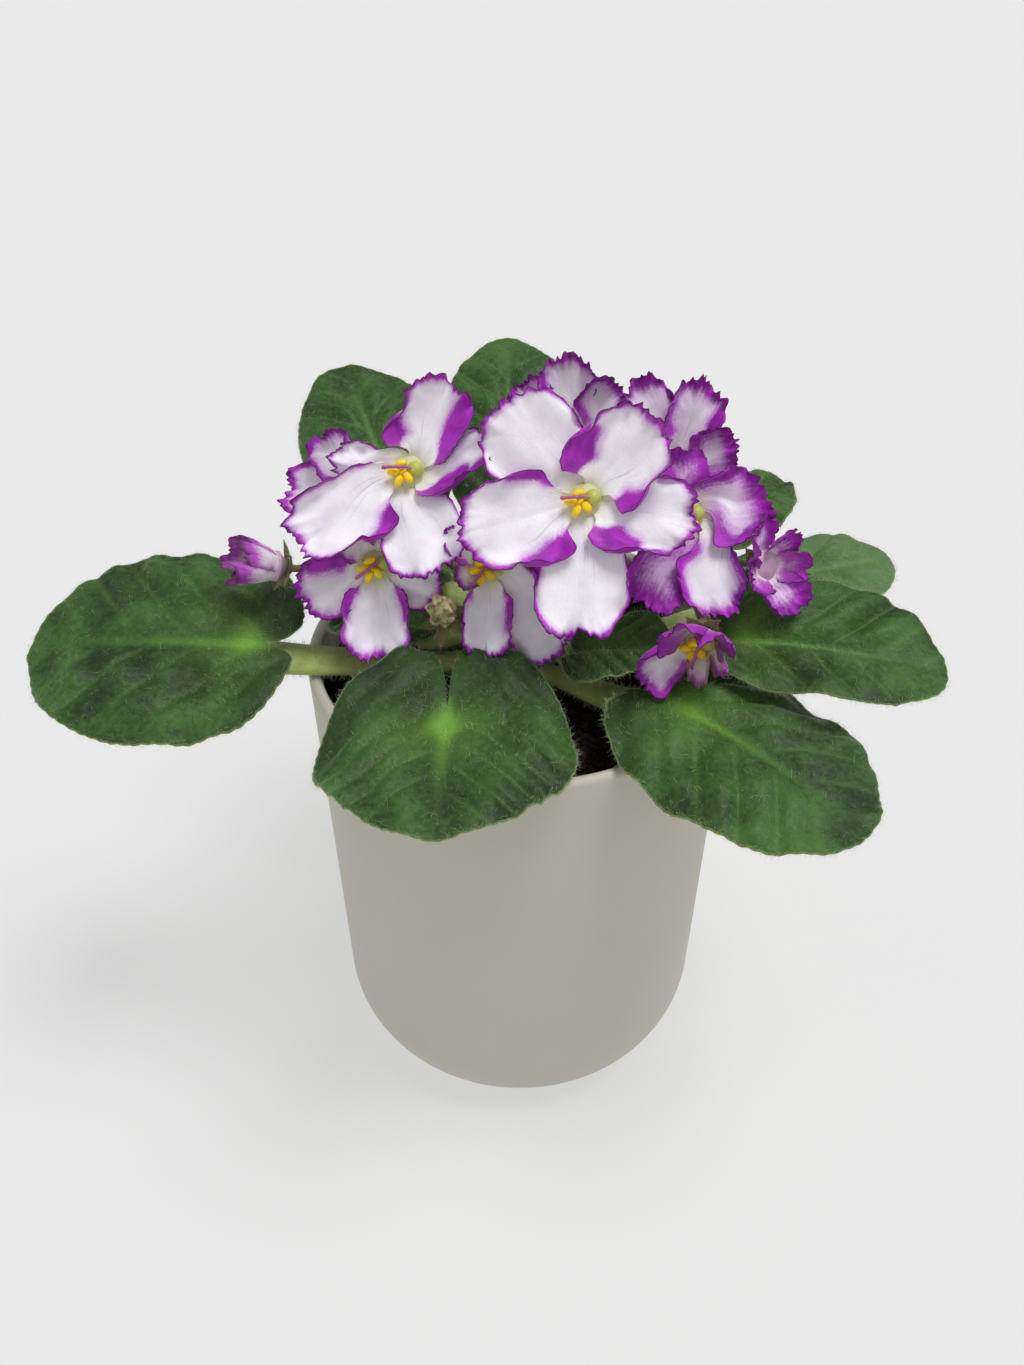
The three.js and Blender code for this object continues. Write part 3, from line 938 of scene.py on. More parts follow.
class HairTree(Scatter):
    """Curved tapering hairs."""

    # Where a hair bends and ends, as shares of its length, and where its root starts, in metres.
    BEND, END, ROOT = 0.6, 0.9, -0.0001

    def __init__(self, name: str, density: float, length: float, radius: float, lean: float,
                 curl: float) -> None:
        """Builds the tree.

        Args:
            name: the tree's name.
            density: hairs to a square millimetre where the host's mark "hairy" is 1.
            length: a hair's length in millimetres.
            radius: its radius at the root in millimetres.
            lean: how far it may lean over, in radians.
            curl: how far its end bends aside, as a share of its length.
        """
        super().__init__(name, {"Density": density / MM**2, "Length": length * MM, "Radius": radius * MM,
                                "Lean": lean, "Curl": curl})
        points, rotation = self.points(self.size("Density"))
        tall, curled = self.size("Length"), self.size("Curl")
        middle = self.node("ShaderNodeCombineXYZ", {}, {"X": 0.0, "Y": 0.0, "Z": tall * self.BEND})
        end = self.node("ShaderNodeCombineXYZ", {}, {"X": tall * curled, "Y": 0.0, "Z": tall * self.END})
        line = self.node("GeometryNodeCurveQuadraticBezier", {}, {
            "Resolution": 3, "Start": (0.0, 0.0, self.ROOT), "Middle": middle, "End": end})
        share = self.node("GeometryNodeSplineParameter", {}, {}, "Factor")
        section = self.node("GeometryNodeCurvePrimitiveCircle", {"mode": "RADIUS"},
                            {"Resolution": 3, "Radius": 1.0})
        hair = self.node("GeometryNodeCurveToMesh", {}, {
            "Curve": line, "Profile Curve": section, "Scale": (1.05 - share) * self.size("Radius")})
        scale = self.node("FunctionNodeRandomValue", {"data_type": "FLOAT"},
                          {2: 0.5, 3: 1.25, "Seed": self.size("Seed")}, 1)
        self.place(points, hair, self.spun(rotation, self.size("Lean")), scale)


class CrumbTree(Scatter):
    """Angular crumbs of potting mix."""

    # The least and the greatest size of a crumb along its three axes, as shares of the tree's radius.
    SMALL, LARGE = (0.25, 0.25, 0.2), (1.5, 1.2, 1.0)

    def __init__(self, name: str, density: float, radius: float) -> None:
        """Builds the tree.

        Args:
            name: the tree's name.
            density: crumbs to a square millimetre where the host's mark "hairy" is 1.
            radius: a crumb's radius in millimetres.
        """
        super().__init__(name, {"Density": density / MM**2, "Radius": radius * MM, "Lean": math.pi})
        points, rotation = self.points(self.size("Density"))
        inputs = {"Radius": self.size("Radius"), "Subdivisions": 1}
        stone = self.node("GeometryNodeMeshIcoSphere", {}, inputs, "Mesh")
        size = self.chance(self.SMALL, self.LARGE)
        self.place(points, stone, self.spun(rotation, self.size("Lean")), size)


# ---------------------------------------------------------------- pot, soil and crown


@dataclass
class Pot:
    """The tapered cover pot with its rounded foot, and the potting mix and crown inside it.

    Args:
        height: from the foot to the rim.
        rim_radius: the pot's radius at the rim.
        foot_radius: where the wall would meet the ground without its rounding.
        foot_round: the radius of that rounding.
        wall: the wall's thickness.
        floor: the floor's thickness.
        inner_round: the radius of the rounding inside.
        around: number of points round the pot.
        soil_top: the height of the potting mix.
        soil_clearance: the air between it and the pot.
        soil_sink: how far its lumpy top is set down.
        crumb: how high its lumps are.
        crown_radius: the crown's radius.
        crown_taper: the same at its two ends.
        crown_top: the height of its top.
        hole_depth: how deep the crown sits in the potting mix.
    """

    height: float = 148
    rim_radius: float = 60
    foot_radius: float = 55.5
    foot_round: float = 27.5
    wall: float = 3.4
    floor: float = 5
    inner_round: float = 24
    around: int = 192
    soil_top: float = 137
    soil_clearance: float = 0.5
    soil_sink: float = 0.3
    crumb: float = 0.8
    crown_radius: float = 8
    crown_taper: float = 6.2
    crown_top: float = 157
    hole_depth: float = 24

    @property
    def lean(self) -> float:
        """The wall's angle from upright."""
        return math.atan2(self.rim_radius - self.foot_radius, self.height)

    def wall_at(self, inset: float, z: float) -> float:
        """How far out the wall is at a height, when it is set in from the outside."""
        return self.foot_radius - inset + z * math.tan(self.lean)

    def corner(self, inset: float, floor: float, radius: float, count: int) -> list[tuple[float, float]]:
        """The rounded corner between a floor and the wall.

        Args:
            inset: how far its wall is set in from the outside.
            floor: the height of its floor.
            radius: the radius of the rounding.
            count: how many points to give.

        Returns:
            (radius, height) points from the floor up.
        """
        z = floor + radius
        x = self.wall_at(inset, z) - radius / math.cos(self.lean)
        angles = np.linspace(-math.pi / 2, -self.lean, count)
        return [(x + radius * math.cos(a), z + radius * math.sin(a)) for a in angles]

    def build(self) -> None:
        """Makes the pot, the soil with its crumbs and the crown."""
        lip = self.wall / 2
        rim = [(self.rim_radius - lip + lip * math.cos(a), self.height - lip + lip * math.sin(a))
               for a in np.linspace(-self.lean, math.pi, 15)]
        outer = self.corner(0, 0, self.foot_round, 26)
        inner = self.corner(self.wall, self.floor, self.inner_round, 12)[::-1]
        side = [(self.wall_at(0, z), z) for z in np.linspace(40, 140, 8)]
        profile = [(0, 0), *outer, *side, *rim, *inner, (0, self.floor)]
        settle(make_piece("pot_body", [lathe(profile, self.around)], PotFinish().material()), "pot", "pot")
        self._build_soil()
        self._build_crown()

    def _build_soil(self) -> None:
        """The mix, with a lumpy top, and crumbs scattered over it."""
        inset = self.wall + self.soil_clearance
        floor, hole = self.floor + self.soil_clearance, self.crown_radius + GAP
        top = [(r, self.soil_top) for r in np.linspace(self.wall_at(inset, self.soil_top), hole, 40)]
        bottom = self.soil_top - self.hole_depth
        corner = self.corner(inset, floor, self.inner_round - self.soil_clearance, 8)
        skin = lathe([(0, floor), *corner, *top, (hole, bottom), (0, bottom)], 120)
        x, y, z = skin.points.T
        upper = z > self.soil_top - 0.01
        waves = np.sin(x * 0.55 + 1.3) * np.cos(y * 0.47) + 0.6 * np.sin((x - y) * 0.31)
        fine = layered(skin.points, 4, ((3.2, 0.6, 0), (1.7, 0.4, 1)))
        skin.points[:, 2] += np.where(upper, self.crumb * (waves + fine) - self.soil_sink, 0)
        skin.marks["hairy"] = upper * 1.0
        material = SoilFinish().material()
        soil = settle(make_piece("soil_mix", [skin], material), "soil", "soil")
        crumbs = CrumbTree("crumb_tree", density=0.25, radius=1.3)
        settle(crumbs.grow("soil_crumbs", soil, 3, material), "soil")

    def _build_crown(self) -> None:
        """The crown, with the scars of old leaves round it."""
        bottom = self.soil_top - self.hole_depth + GAP
        side = [(self.crown_radius, z) for z in np.linspace(bottom + 6, self.crown_top - 2, 36)]
        profile = [(0, bottom), (self.crown_taper, bottom), *side, (self.crown_taper, self.crown_top),
                   (0, self.crown_top)]
        skin = lathe(profile, 40)
        x, y, z = skin.points.T
        scars = np.cos(3 * np.arctan2(y, x) + z * 0.9) * 0.35 + lumps(skin.points, 2.5, 8) * 0.25
        inwards = np.where((z > bottom + 3) & (z < self.crown_top - 1), scars - 0.5, 0)
        skin.points[:, :2] += unit(skin.points[:, :2]) * np.minimum(inwards, 0)[:, None]
        finish = GreenFinish("crown_skin", colour("77823f"), colour("6a5a35"))
        settle(make_piece("crown_stem", [skin], finish.material()), "crown", "crown")


# ---------------------------------------------------------------- leaves


@dataclass
class Leaf:
    """One leaf: a heart-shaped blade on a fleshy stalk.

    Args:
        name: its name in the part.
        base: where the blade meets the stalk.
        tip: the blade's tip.
        width: the blade's width.
        arch: the angle that it bends through from base to tip, in degrees.
        roll: how far it turns about its length, in degrees.
        cup: how far its sides droop.
        lobe: how far its heart lobes reach back, as a share of its length.
        lift: how far the lobes rise.
        root: the height of the stalk's root on the crown.
        stout: how much wider the stalk is than the usual one.
        light: how strong the painted highlight at the stalk is.
        seed: sets what is random in it.
        notch: how wide the notch between its lobes is.
        close: how far its lobes reach over each other behind the stalk.
        tip_power: how blunt its tip is.
        centre: where it is broadest, as a share of its length.
        pale: how much it turns to the pale green of a leaf that catches the light.
        thickness: the blade's thickness.
        lobe_power: how blunt its heart lobes are.
        groove: how deep the groove over the midrib is.
        groove_width: how wide it is, as a share of half of the blade's width.
        puff: how much the blade swells between two side veins.
        quilt: its lumps, each with its size, its height and what it adds to the seed.
        vein_pitch: from one side vein to the next, as a share of the length.
        vein_slant: how far the side veins run forward on their way out.
        vein_shift: how far those of the two halves are moved along, in opposite ways.
        crowding: how much closer the points round the blade stand at the notch.
        glow_at: how far along the painted highlight at the stalk is; the painted shade lies behind it.
        dark: how strong the painted shade over its lobes and round its notch is.
        rings: rings of points from the blade's middle to its edge.
        spokes: points round the blade.
        small_spokes: the same for a small blade.
        small: how wide a small blade may be.
        crown_radius: how far out from the plant's axis the stalk starts.
    """

    name: str
    base: Point
    tip: Point
    width: float
    arch: float
    roll: float
    cup: float
    lobe: float
    lift: float
    root: float
    stout: float = 1.2
    light: float = 0.7
    seed: int = 0
    notch: float = 0.17
    close: float = 0.0
    tip_power: float = 2.0
    centre: float = 0.42
    pale: float = 0.0

    thickness: float = 1.0
    lobe_power: float = 2.5
    groove: float = 1.2
    groove_width: float = 0.09
    puff: float = 1.15
    quilt: tuple[tuple[float, float, int], ...] = ((15, 1.2, 9), (7.5, 1.05, 0), (4.2, 0.28, 5))
    vein_pitch: float = 0.2
    vein_slant: float = 0.9
    vein_shift: float = 0.13
    crowding: float = 1.15
    glow_at: float = 6.0
    dark: float = 0.5
    rings: int = 26
    spokes: int = 300
    small_spokes: int = 200
    small: float = 40
    crown_radius: float = Pot.crown_radius

    def __post_init__(self) -> None:
        """Works out the blade's own frame."""
        start, end = np.array(self.base, float), np.array(self.tip, float)
        self.bend = math.radians(self.arch)
        self.radius = np.linalg.norm(end - start) / 2 / math.sin(self.bend / 2)
        self.length = self.radius * self.bend
        self.ahead = unit(end - start)
        level = unit(np.cross(UP, self.ahead))
        roll = math.radians(self.roll)
        self.side = level * math.cos(roll) + np.cross(self.ahead, level) * math.sin(roll)
        self.above = np.cross(self.ahead, self.side)

    def at(self, along: Array, across: Array, rise: Array) -> Array:
        """Bends the leaf's own places into space.

        Args:
            along: how far along the leaf each is.
            across: how far across it.
            rise: how far off its sheet.

        Returns:
            Points in space.
        """
        angle = (np.maximum(along, 0) / self.length - 0.5) * self.bend
        cos, sin, behind = np.cos(angle), np.sin(angle), np.minimum(along, 0)
        forward = self.radius * (sin + math.sin(self.bend / 2)) + rise * sin + behind * cos
        upward = self.radius * (cos - math.cos(self.bend / 2)) + rise * cos - behind * sin
        return (np.array(self.base) + np.multiply.outer(forward, self.ahead)
                + np.multiply.outer(upward, self.above) + np.multiply.outer(across, self.side))

    def outline(self, angle: Array) -> Array:
        """The blade's heart-shaped edge.

        Args:
            angle: angles about the blade's own middle, from the tip's side.

        Returns:
            How far out the edge is at each.
        """
        turn = np.abs(angle)
        front = turn < math.pi / 2
        reach = np.where(front, 1 - self.centre, self.centre + self.lobe) * self.length
        power = np.where(front, self.tip_power, self.lobe_power)
        ahead, aside = np.abs(np.cos(turn)) / reach, 2 * np.sin(turn) / self.width
        edge = (ahead**power + aside**power) ** (-1 / power)
        dent = np.exp(-(((math.pi - turn) / self.notch) ** 2))
        return np.where(front, edge, mix(edge, self.centre * self.length, dent))

    def shares(self, along: Array, across: Array) -> tuple[Array, Array]:
        """How far along places are as shares of the length, and out as shares of half of the width."""
        return along / self.length, np.abs(across) * 2 / self.width

    def spots(self, along: Array, across: Array) -> Array:
        """Places on the leaf in a space that no other leaf shares, for its lumps."""
        return np.stack([along, across, 0 * along + self.seed * 40.0], -1)

    def veins(self, along: Array, across: Array) -> tuple[Array, Array]:
        """The side veins.

        Args:
            along: how far along the leaf each place is.
            across: how far across it.

        Returns:
            How far between two veins each place is, 0 to 1, and how much it is on one.
        """
        u, v = self.shares(along, across)
        slant = self.vein_slant * v * (self.width / 2 / self.length)
        place = (u + np.sign(across) * self.vein_shift - slant) / self.vein_pitch
        between = np.abs(np.sin(math.pi * place))
        return between, np.exp(-((between / 0.28) ** 2))

    def relief(self, along: Array, across: Array) -> Array:
        """The blade's droop, its groove, its quilting and its raised lobes.

        Args:
            along: how far along the leaf each place is.
            across: how far across it.

        Returns:
            How far each place stands off the smooth sheet.
        """
        u, v = self.shares(along, across)
        droop = -self.cup * v * v
        groove = -self.groove * np.exp(-((v / self.groove_width) ** 2)) * (1 - smooth(u, 0.5, 1))
        between, _ = self.veins(along, across)
        puff = 1.9 * self.puff * (1 - smooth(u, 0.68, 0.95)) * smooth(v, 0.03, 0.35)
        puff = puff * (1 - smooth(v, 0.72, 1)) * between**0.8
        quilt = layered(self.spots(along, across), self.seed, self.quilt)
        lobes = self.lift * smooth(-u, -0.22, self.lobe)
        return droop + groove + puff + quilt * smooth(v, 0.02, 0.25) + lobes

    def blade(self) -> Skin:
        """Makes the blade, as rings of points round its own middle.

        Returns:
            Its skin with its marks.
        """
        spokes = self.spokes if self.width > self.small else self.small_spokes
        half, middle = spokes // 2, self.centre * self.length
        k = np.arange(-half, half)
        turns = np.sign(k) * math.pi * (1 - (1 - np.abs(k) / half) ** self.crowding)
        rows = np.linspace(0, 1, self.rings + 1)[1:] ** 0.86
        outline = self.outline(turns)
        teeth = np.abs(np.sin(turns * 31 + 0.6 * np.sin(5 * turns + self.seed)))
        scallop = 1 - 0.009 * (1 - teeth) - 0.005 * ripple(turns, (3, 5, 7), self.seed)
        reach = np.outer(rows, outline * scallop)
        angle = np.repeat(turns[None], self.rings, 0)
        along = np.concatenate([[middle], (middle + reach * np.cos(angle)).ravel()])
        across = np.concatenate([[0.0], (reach * np.sin(angle)).ravel()])
        share = np.concatenate([[0.0], np.repeat(rows, spokes)])
        rim_wave = np.concatenate([[0.0], ripple(angle, (5, 8, 13), self.seed + 2).ravel()])
        rise = self.relief(along, across) + 0.45 * share**6 * rim_wave
        behind = smooth(-along, -2, 8) * smooth(share, 0.45, 0.9) * np.exp(-((across / 9) ** 2))
        rise = rise + np.sign(across) * behind * self.close * 0.5
        across = across - np.sign(across) * behind * self.close
        edge = (1 - share) * np.concatenate([[30.0], np.tile(outline, self.rings)])
        thick = self.thickness * mix(0.45, 1.0, smooth(edge, 0, 1.6))
        top, below = self.at(along, across, rise), self.at(along, across, rise - thick)
        ring = 1 + np.arange(spokes)
        quads = cells(self.rings, spokes, wrap=True) + 1
        hub = np.stack([np.zeros(spokes, int), ring, 1 + (ring % spokes)], 1)
        rim = ring + (self.rings - 1) * spokes
        return sheet(top, below, [quads, hub], rim, self._marks(along, across, edge))

    def _marks(self, along: Array, across: Array, edge: Array) -> dict[str, Array]:
        """What the blade's finish and its hairs read.

        Args:
            along: how far along the leaf each point is.
            across: how far across it.
            edge: how far from the blade's edge.

        Returns:
            The marks by name.
        """
        u, v = self.shares(along, across)
        _, vein = self.veins(along, across)
        midrib = np.exp(-((v / 0.05) ** 2)) * (1 - smooth(u, 0.55, 1)) * smooth(along, -3, 0)
        near = np.hypot(along - self.glow_at, across)
        # Painted highlight at the stalk and over the swell in front of it; along the midrib near the base it
        # is partly the real paler colour.
        glow = 0.75 * np.exp(-((near / 4.5) ** 2)) + 0.4 * midrib * (1 - smooth(u, 0.1, 0.8))
        glow = glow + 0.35 * np.exp(-((near / 14) ** 2)) * smooth(along, -2, 10)
        # Painted shade: a dark line along the seam where the lobes overlap behind the stalk.
        crease = 0.95 * np.exp(-((across / 1.4) ** 2)) * smooth(-along, -2, 3)
        return {
            "edge": edge, "vein": np.clip(vein * smooth(v, 0, 0.2) * (1 - smooth(v, 0.6, 1)) + midrib, 0, 1),
            "glow": np.clip(self.light * glow, 0, 0.85), "pale": np.full(edge.shape, self.pale),
            # painted relief shading: the lumps of the quilting, painted lighter on their crests in the finish
            "crest": lumps(self.spots(along, across), 7.5, self.seed),
            # painted shade over the lobes behind the stalk, darkest along the notch
            "hollow": np.maximum(self.dark * smooth(self.glow_at - along, -6, 10), crease),
            "hairy": np.clip(0.03 + 0.22 * (edge < 1.0) + 0.4 * (edge < 0.3)
                             + 0.1 * np.exp(-((near / 14) ** 2)) * (along > -2), 0, 1),
        }

    def stalk(self) -> Skin:
        """Makes the stalk: from the crown's side, outwards and up, to just under the blade's base.

        Returns:
            Its skin with its mark for hairs.
        """
        steps, around = 26, 20
        end_high, end_wide, root_high, root_wide = 1.2 + 0.6 * self.stout, 3.2 * self.stout, 2.3, 2.6
        below = self.thickness + self.groove + end_high + 2 * GAP
        end = self.at(np.array(4.0), np.array(0.0), np.array(-below))
        before = self.at(np.array(-0.2 * self.length), np.array(0.0), np.array(-below - 1))
        heading = unit(np.array([end[0], end[1], 0]))
        root = heading * (self.crown_radius + GAP) + UP * self.root
        path = bezier([root, root + heading * 9, before, end], steps)
        share = np.linspace(0, 1, steps)
        close = 1 - 0.7 * smooth(share, 0.97, 1)
        high, wide = mix(root_high, end_high, share) * close, mix(root_wide, end_wide, share) * close
        skin = tube(path, high, wide, around)
        skin.marks["hairy"] = np.full(len(skin.points), 0.35)
        return skin


LEAVES = [
    Leaf("left", (-68, -13, 157), (-137, -3, 150), 66, 18, -17, 3, 0.12, 2, 143, 2.3, 0.7, 1, 0.1, 0.8),
    Leaf("front_left", (-19, -40, 153), (-20, -87, 156), 66, 42, 2, 6, 0.34, 15, 143, 1.5, 0.9, 2, 0.11, 1.2,
         1.6, 0.36),
    Leaf("front_right", (38, -33, 154), (82, -77, 147), 57, 30, 0, 5, 0.18, 3, 143, 2.3, 0.8, 3, 0.12, 0.6),
    Leaf("right", (54, -14, 160), (112, -27, 157), 41, 30, 12, -4, 0.1, 2, 148, seed=4),
    Leaf("right_upper", (57, 10, 158), (106, 16, 165), 38, 28, 4, 3, 0.1, 1, 143, seed=5, pale=0.36),
    Leaf("right_back", (47, 34, 166), (81, 45, 174), 34, 26, 0, 4, 0.1, 1, 148, seed=6),
    Leaf("back_right", (22, 54, 166), (33, 90, 180), 36, 24, 4, 4, 0.1, 1, 143, seed=7),
    Leaf("back", (-4, 54, 170), (-3, 100, 196), 41, 30, -2, 5, 0.28, 1, 148, seed=8),
    Leaf("back_left", (-37, 48, 165), (-57, 98, 187), 46, 26, -6, 5, 0.12, 1, 143, seed=9),
    Leaf("inner_front", (14, -12, 154), (40, -20, 161), 31, 24, 0, -1, 0.06, 1, 153, light=0.2, seed=10),
    Leaf("inner_left", (-25, 0, 154), (-54, -1, 155), 26, 20, 0, -2, 0.1, 1, 153, light=0.3, seed=11),
    Leaf("inner_back", (-20, 15, 162), (-44, 32, 173), 26, 20, 0, -2, 0.1, 1, 153, light=0.3, seed=12),
]


@dataclass
class Rosette:
    """All leaves, with their hairs."""

    leaves: list[Leaf]

    def build(self) -> None:
        """Makes each blade, stalk and coat of hairs."""
        blade, hair = BladeFinish().material(), hair_material()
        stalk = GreenFinish("stalk_skin", colour("b4c274"), colour("98a65a"), 0.007).material()
        coat = HairTree("leaf_hair", density=5.0, length=1.8, radius=0.028, lean=0.8, curl=0.5)
        down = HairTree("stalk_hair", density=4.0, length=1.8, radius=0.045, lean=0.6, curl=0.4)
        for leaf in self.leaves:
            node = f"leaf_{leaf.name}"
            body = settle(make_piece(f"{node}_fine", [leaf.blade()], blade), "blade", f"{node}_blade")
            stem = settle(make_piece(f"{node}_petiole", [leaf.stalk()], stalk), "stalk", f"{node}_stalk")
            settle(coat.grow(f"{node}_hairs", body, leaf.seed, hair), "blade")
            settle(down.grow(f"{node}_petiole_hairs", stem, leaf.seed, hair), "stalk")


def hair_material() -> bpy.types.Material:
    """The pale hairs of leaves and stems."""
    return PlainFinish("plant_hair", colour("cfdcb8"), colour("a6b98a"), 0.004, 0.45, 0.00001).material()


# ---------------------------------------------------------------- blooms


@dataclass(frozen=True)
class Flank:
    """A place on a petal's side edge where its purple is wider.

    Args:
        side: 1 for the anticlockwise edge and -1 for the other.
        middle: the share of the petal's length where it is widest.
        extent: how far along the edge it goes, as a share of the length.
        wide: the purple's width in millimetres.
        bulge: how far the edge stands out there, in millimetres.
    """

    side: int
    middle: float
    extent: float
    wide: float
    bulge: float = 0.0

    def at(self, share: Array) -> Array:
        """How strong it is at a share of the length, from 0 to 1."""
        return np.exp(-(((share - self.middle) / self.extent) ** 4))


@dataclass
class Petal:
    """One petal of a bloom. A place on it is a share of its length and a side, from -1 to 1.

    Args:
        angle: its direction on the face in degrees, 0 to the viewer's right and 90 up.
        length: from the bloom's middle to its end.
        spread: half of the angle that its end spans, in radians.
        over: how far its two side edges stand forward, anticlockwise one first.
        margin: how wide its purple margin is.
        flanks: where a side edge is purple further in.
        root_half: half of the angle that its root spans.
        throat: how far out its root is.
        haze: how soft the inner border of a flank's purple is.
        waist: how much more it spans halfway out, in radians.
        back: how far it lies behind its neighbours.
    """

    angle: float
    length: float
    spread: float
    over: tuple[float, float] = (1.6, -1.6)
    margin: float = 2.2
    flanks: tuple[Flank, ...] = ()
    root_half: float = 0.66
    throat: float = 3.2
    haze: float = 2.0
    waist: float = 0.2
    back: float = 0.0

    def half(self, share: Array, side: Array) -> Array:
        """Half of the angle that the petal spans.

        Args:
            share: shares of its length.
            side: which side of it each place is on.

        Returns:
            The angle in radians.
        """
        half = mix(self.root_half, 1.2 * self.spread, smooth(share, 0, 0.4))
        half = half * (1 - 0.14 * smooth(share, 0.7, 1))
        half = half + self.waist * np.exp(-(((share - 0.42) / 0.22) ** 2))
        for flank in self.flanks:
            bulge = flank.at(share) * flank.bulge / self.out(share)
            half = half + bulge * smooth(side * flank.side, 0.1, 0.8)
        return half

    def out(self, share: Array) -> Array:
        """How far from the bloom's middle a share of the length is."""
        return mix(self.throat, self.length, share)

    def from_flank(self, share: Array, side: Array, which: float) -> Array:
        """How far a place is from one side edge, leaving out the petal's root."""
        wide = self.half(share, np.full(np.shape(share), which)) * self.out(share)
        return (1 - which * side) * wide + 6 * (1 - smooth(share, 0.05, 0.35))

    def from_margin(self, share: Array, side: Array) -> Array:
        """How far a place is from the petal's edge, leaving out its root."""
        sides = np.minimum(self.from_flank(share, side, 1.0), self.from_flank(share, side, -1.0))
        return np.minimum((1 - share) * self.length, sides)

    def purple(self, share: Array, side: Array) -> Array:
        """How deep in the purple margin places are.

        Args:
            share: shares of the petal's length.
            side: where each place is between its side edges.

        Returns:
            0 at the edge and about 1 where the white begins.
        """
        found = self.from_margin(share, side) / self.margin
        for flank in self.flanks:
            inside = self.from_flank(share, side, flank.side) - flank.wide * flank.at(share)
            found = np.minimum(found, np.maximum(0.75 + inside / self.haze, 0))
        return found


@dataclass
class Bloom:
    """One bloom: five petals in one, and in an open one the anthers and the pistil.

    Args:
        name: its name in the part.
        at: its throat.
        face: the way it faces, as azimuth and elevation in degrees.
        cup: how far its petals come forward.
        open: whether its middle shows.
        phase: sets its ruffles.
        petals: its petals, from the upper left one round to the left one.
        frill: how strong its ruffles are.
        lean: how far the style is turned down from the left, in degrees.
        rows: bands of a petal from its root to its end.
        columns: the same across it.
        thickness: a petal's thickness.
        throat: how far out the petals' roots are.
        rounding: how much shorter a petal is at its side edges, as a share of its length.
        ruffle: how high its slow waves are.
        waves: how many of them there are across a petal.
        funnel: how deep the funnel behind the petals is.
        throat_floor: the height of the funnel's floor.
        lobes: the anthers' lobes, each with its two places on the face and its turn.
        lobe_radii: their three radii.
        style_radius: the radius of the style.
    """

    name: str
    at: Point
    face: tuple[float, float]
    cup: float
    open: bool
    phase: int
    petals: list[Petal]
    frill: float = 1.0
    lean: float = 0.0

    rows: int = 34
    columns: int = 64
    thickness: float = 0.55
    throat: float = 3.2
    rounding: float = 0.26
    ruffle: float = 1.3
    waves: float = 2.4
    funnel: float = 2.2
    throat_floor: float = -1.0
    lobes: tuple[Point, ...] = ((-1.7, 1.5, 0.4), (-3.6, -0.6, 0.1), (-2.0, -2.9, 1.2), (0.4, -1.8, -0.9))
    lobe_radii: Point = (1.75, 1.1, 1.25)
    style_radius: float = 0.42

    def axes(self) -> Array:
        """Works out the bloom's own frame.

        Returns:
            Its right, its up and its forward, one to a row.
        """
        turn, rise = (math.radians(a) for a in self.face)
        ahead = np.array([math.cos(rise) * math.cos(turn), math.cos(rise) * math.sin(turn), math.sin(rise)])
        right = unit(np.cross(UP, ahead))
        return np.stack([right, np.cross(ahead, right), ahead])

    def world(self, points: Array) -> Array:
        """Points of the bloom's own frame in space."""
        return np.array(self.at) + points @ self.axes()

    def petal_points(self, petal: Petal, order: int, share: Array, side: Array) -> Array:
        """Shapes a petal's upper surface.

        Args:
            petal: the petal.
            order: its place among the bloom's petals.
            share: shares of its length.
            side: where each place is between its side edges.

        Returns:
            Points in the bloom's own frame.
        """
        rooted = math.radians(126 - 72 * order)
        swing = math.radians(petal.angle) - rooted
        swing = math.atan2(math.sin(swing), math.cos(swing))
        around = np.arctan2(side * 1.2, share - 0.45)
        seed = self.phase * 10 + order
        size = self.frill * mix(0.35, 1.0, min(1.0, max(0.0, (petal.length - 9) / 16)))
        margin = petal.from_margin(share, side)

        # The outline: side lobes, a rounded end and a fringe of teeth with finer nicks between them.
        lobing = 1 + 0.03 * ripple(around, (3, 4, 6), seed + 4) * smooth(share, 0.45, 0.9)
        end = petal.length * (1 - self.rounding * np.abs(side) ** 2.6) * lobing
        jag = 1 - 2 * np.abs(ripple(around, (8, 11, 15), seed + 3)) ** 0.8
        nick = 1 - 2 * np.abs(ripple(around, (21, 29, 37), seed + 5))
        fringe = (0.9 * jag + 0.4 * nick) * np.exp(-margin / 1.3) * size
        radius = mix(self.throat, end, share) + fringe * smooth(share, 0.5, 0.95)
        turn = rooted + swing * smooth(share, 0, 0.6) + side * petal.half(share, side)
        turn = turn + side**7 * nick * size * 0.2 / np.maximum(radius, 5)

        # The heights: frills are calmer near the root, and more so where the petal lies behind another.
        rim = np.exp(-margin / 2.6) * smooth(share, 0.12, 0.5)
        wave = self.ruffle * size * share**2.5 * np.sin(self.waves * math.pi * side + self.phase + 2 * order)
        forward = np.where(side > 0, petal.over[0], petal.over[1])
        over = 1.35 * forward * np.abs(side) ** 1.1 * share**0.7
        behind, before = mix(0.15, 1.0, smooth(share, 0.7, 0.97)), mix(0.45, 1.0, smooth(share, 0.55, 0.9))
        calm = np.where(forward < 0, behind, before)
        folds = 1.3 * ripple(around, (7, 10, 13), seed) + 1.1 * ripple(around, (17, 23, 29), seed + 1)
        frills = rim * size * folds * calm
        curl = 1.2 * size * calm * rim**2 * (1 + ripple(around, (3, 5), seed + 2))
        sink = self.funnel * (1 - share) ** 6
        crease = 0.5 * np.exp(-((side / 0.14) ** 2)) * (1 - share) * smooth(share, 0.05, 0.3)
        flat = np.stack([radius * np.cos(turn), radius * np.sin(turn), 0 * turn + 31.0 * seed], -1)
        swell = 0.5 * lumps(flat, 8.0, seed + 6) * smooth(share, 0.2, 0.6)
        height = self.cup * share**1.6 + over + wave + frills + curl + swell - sink - crease
        height = height - petal.back * smooth(share, 0.1, 0.6)
        return flat * np.array([1.0, 1.0, 0.0]) + UP * height[..., None]

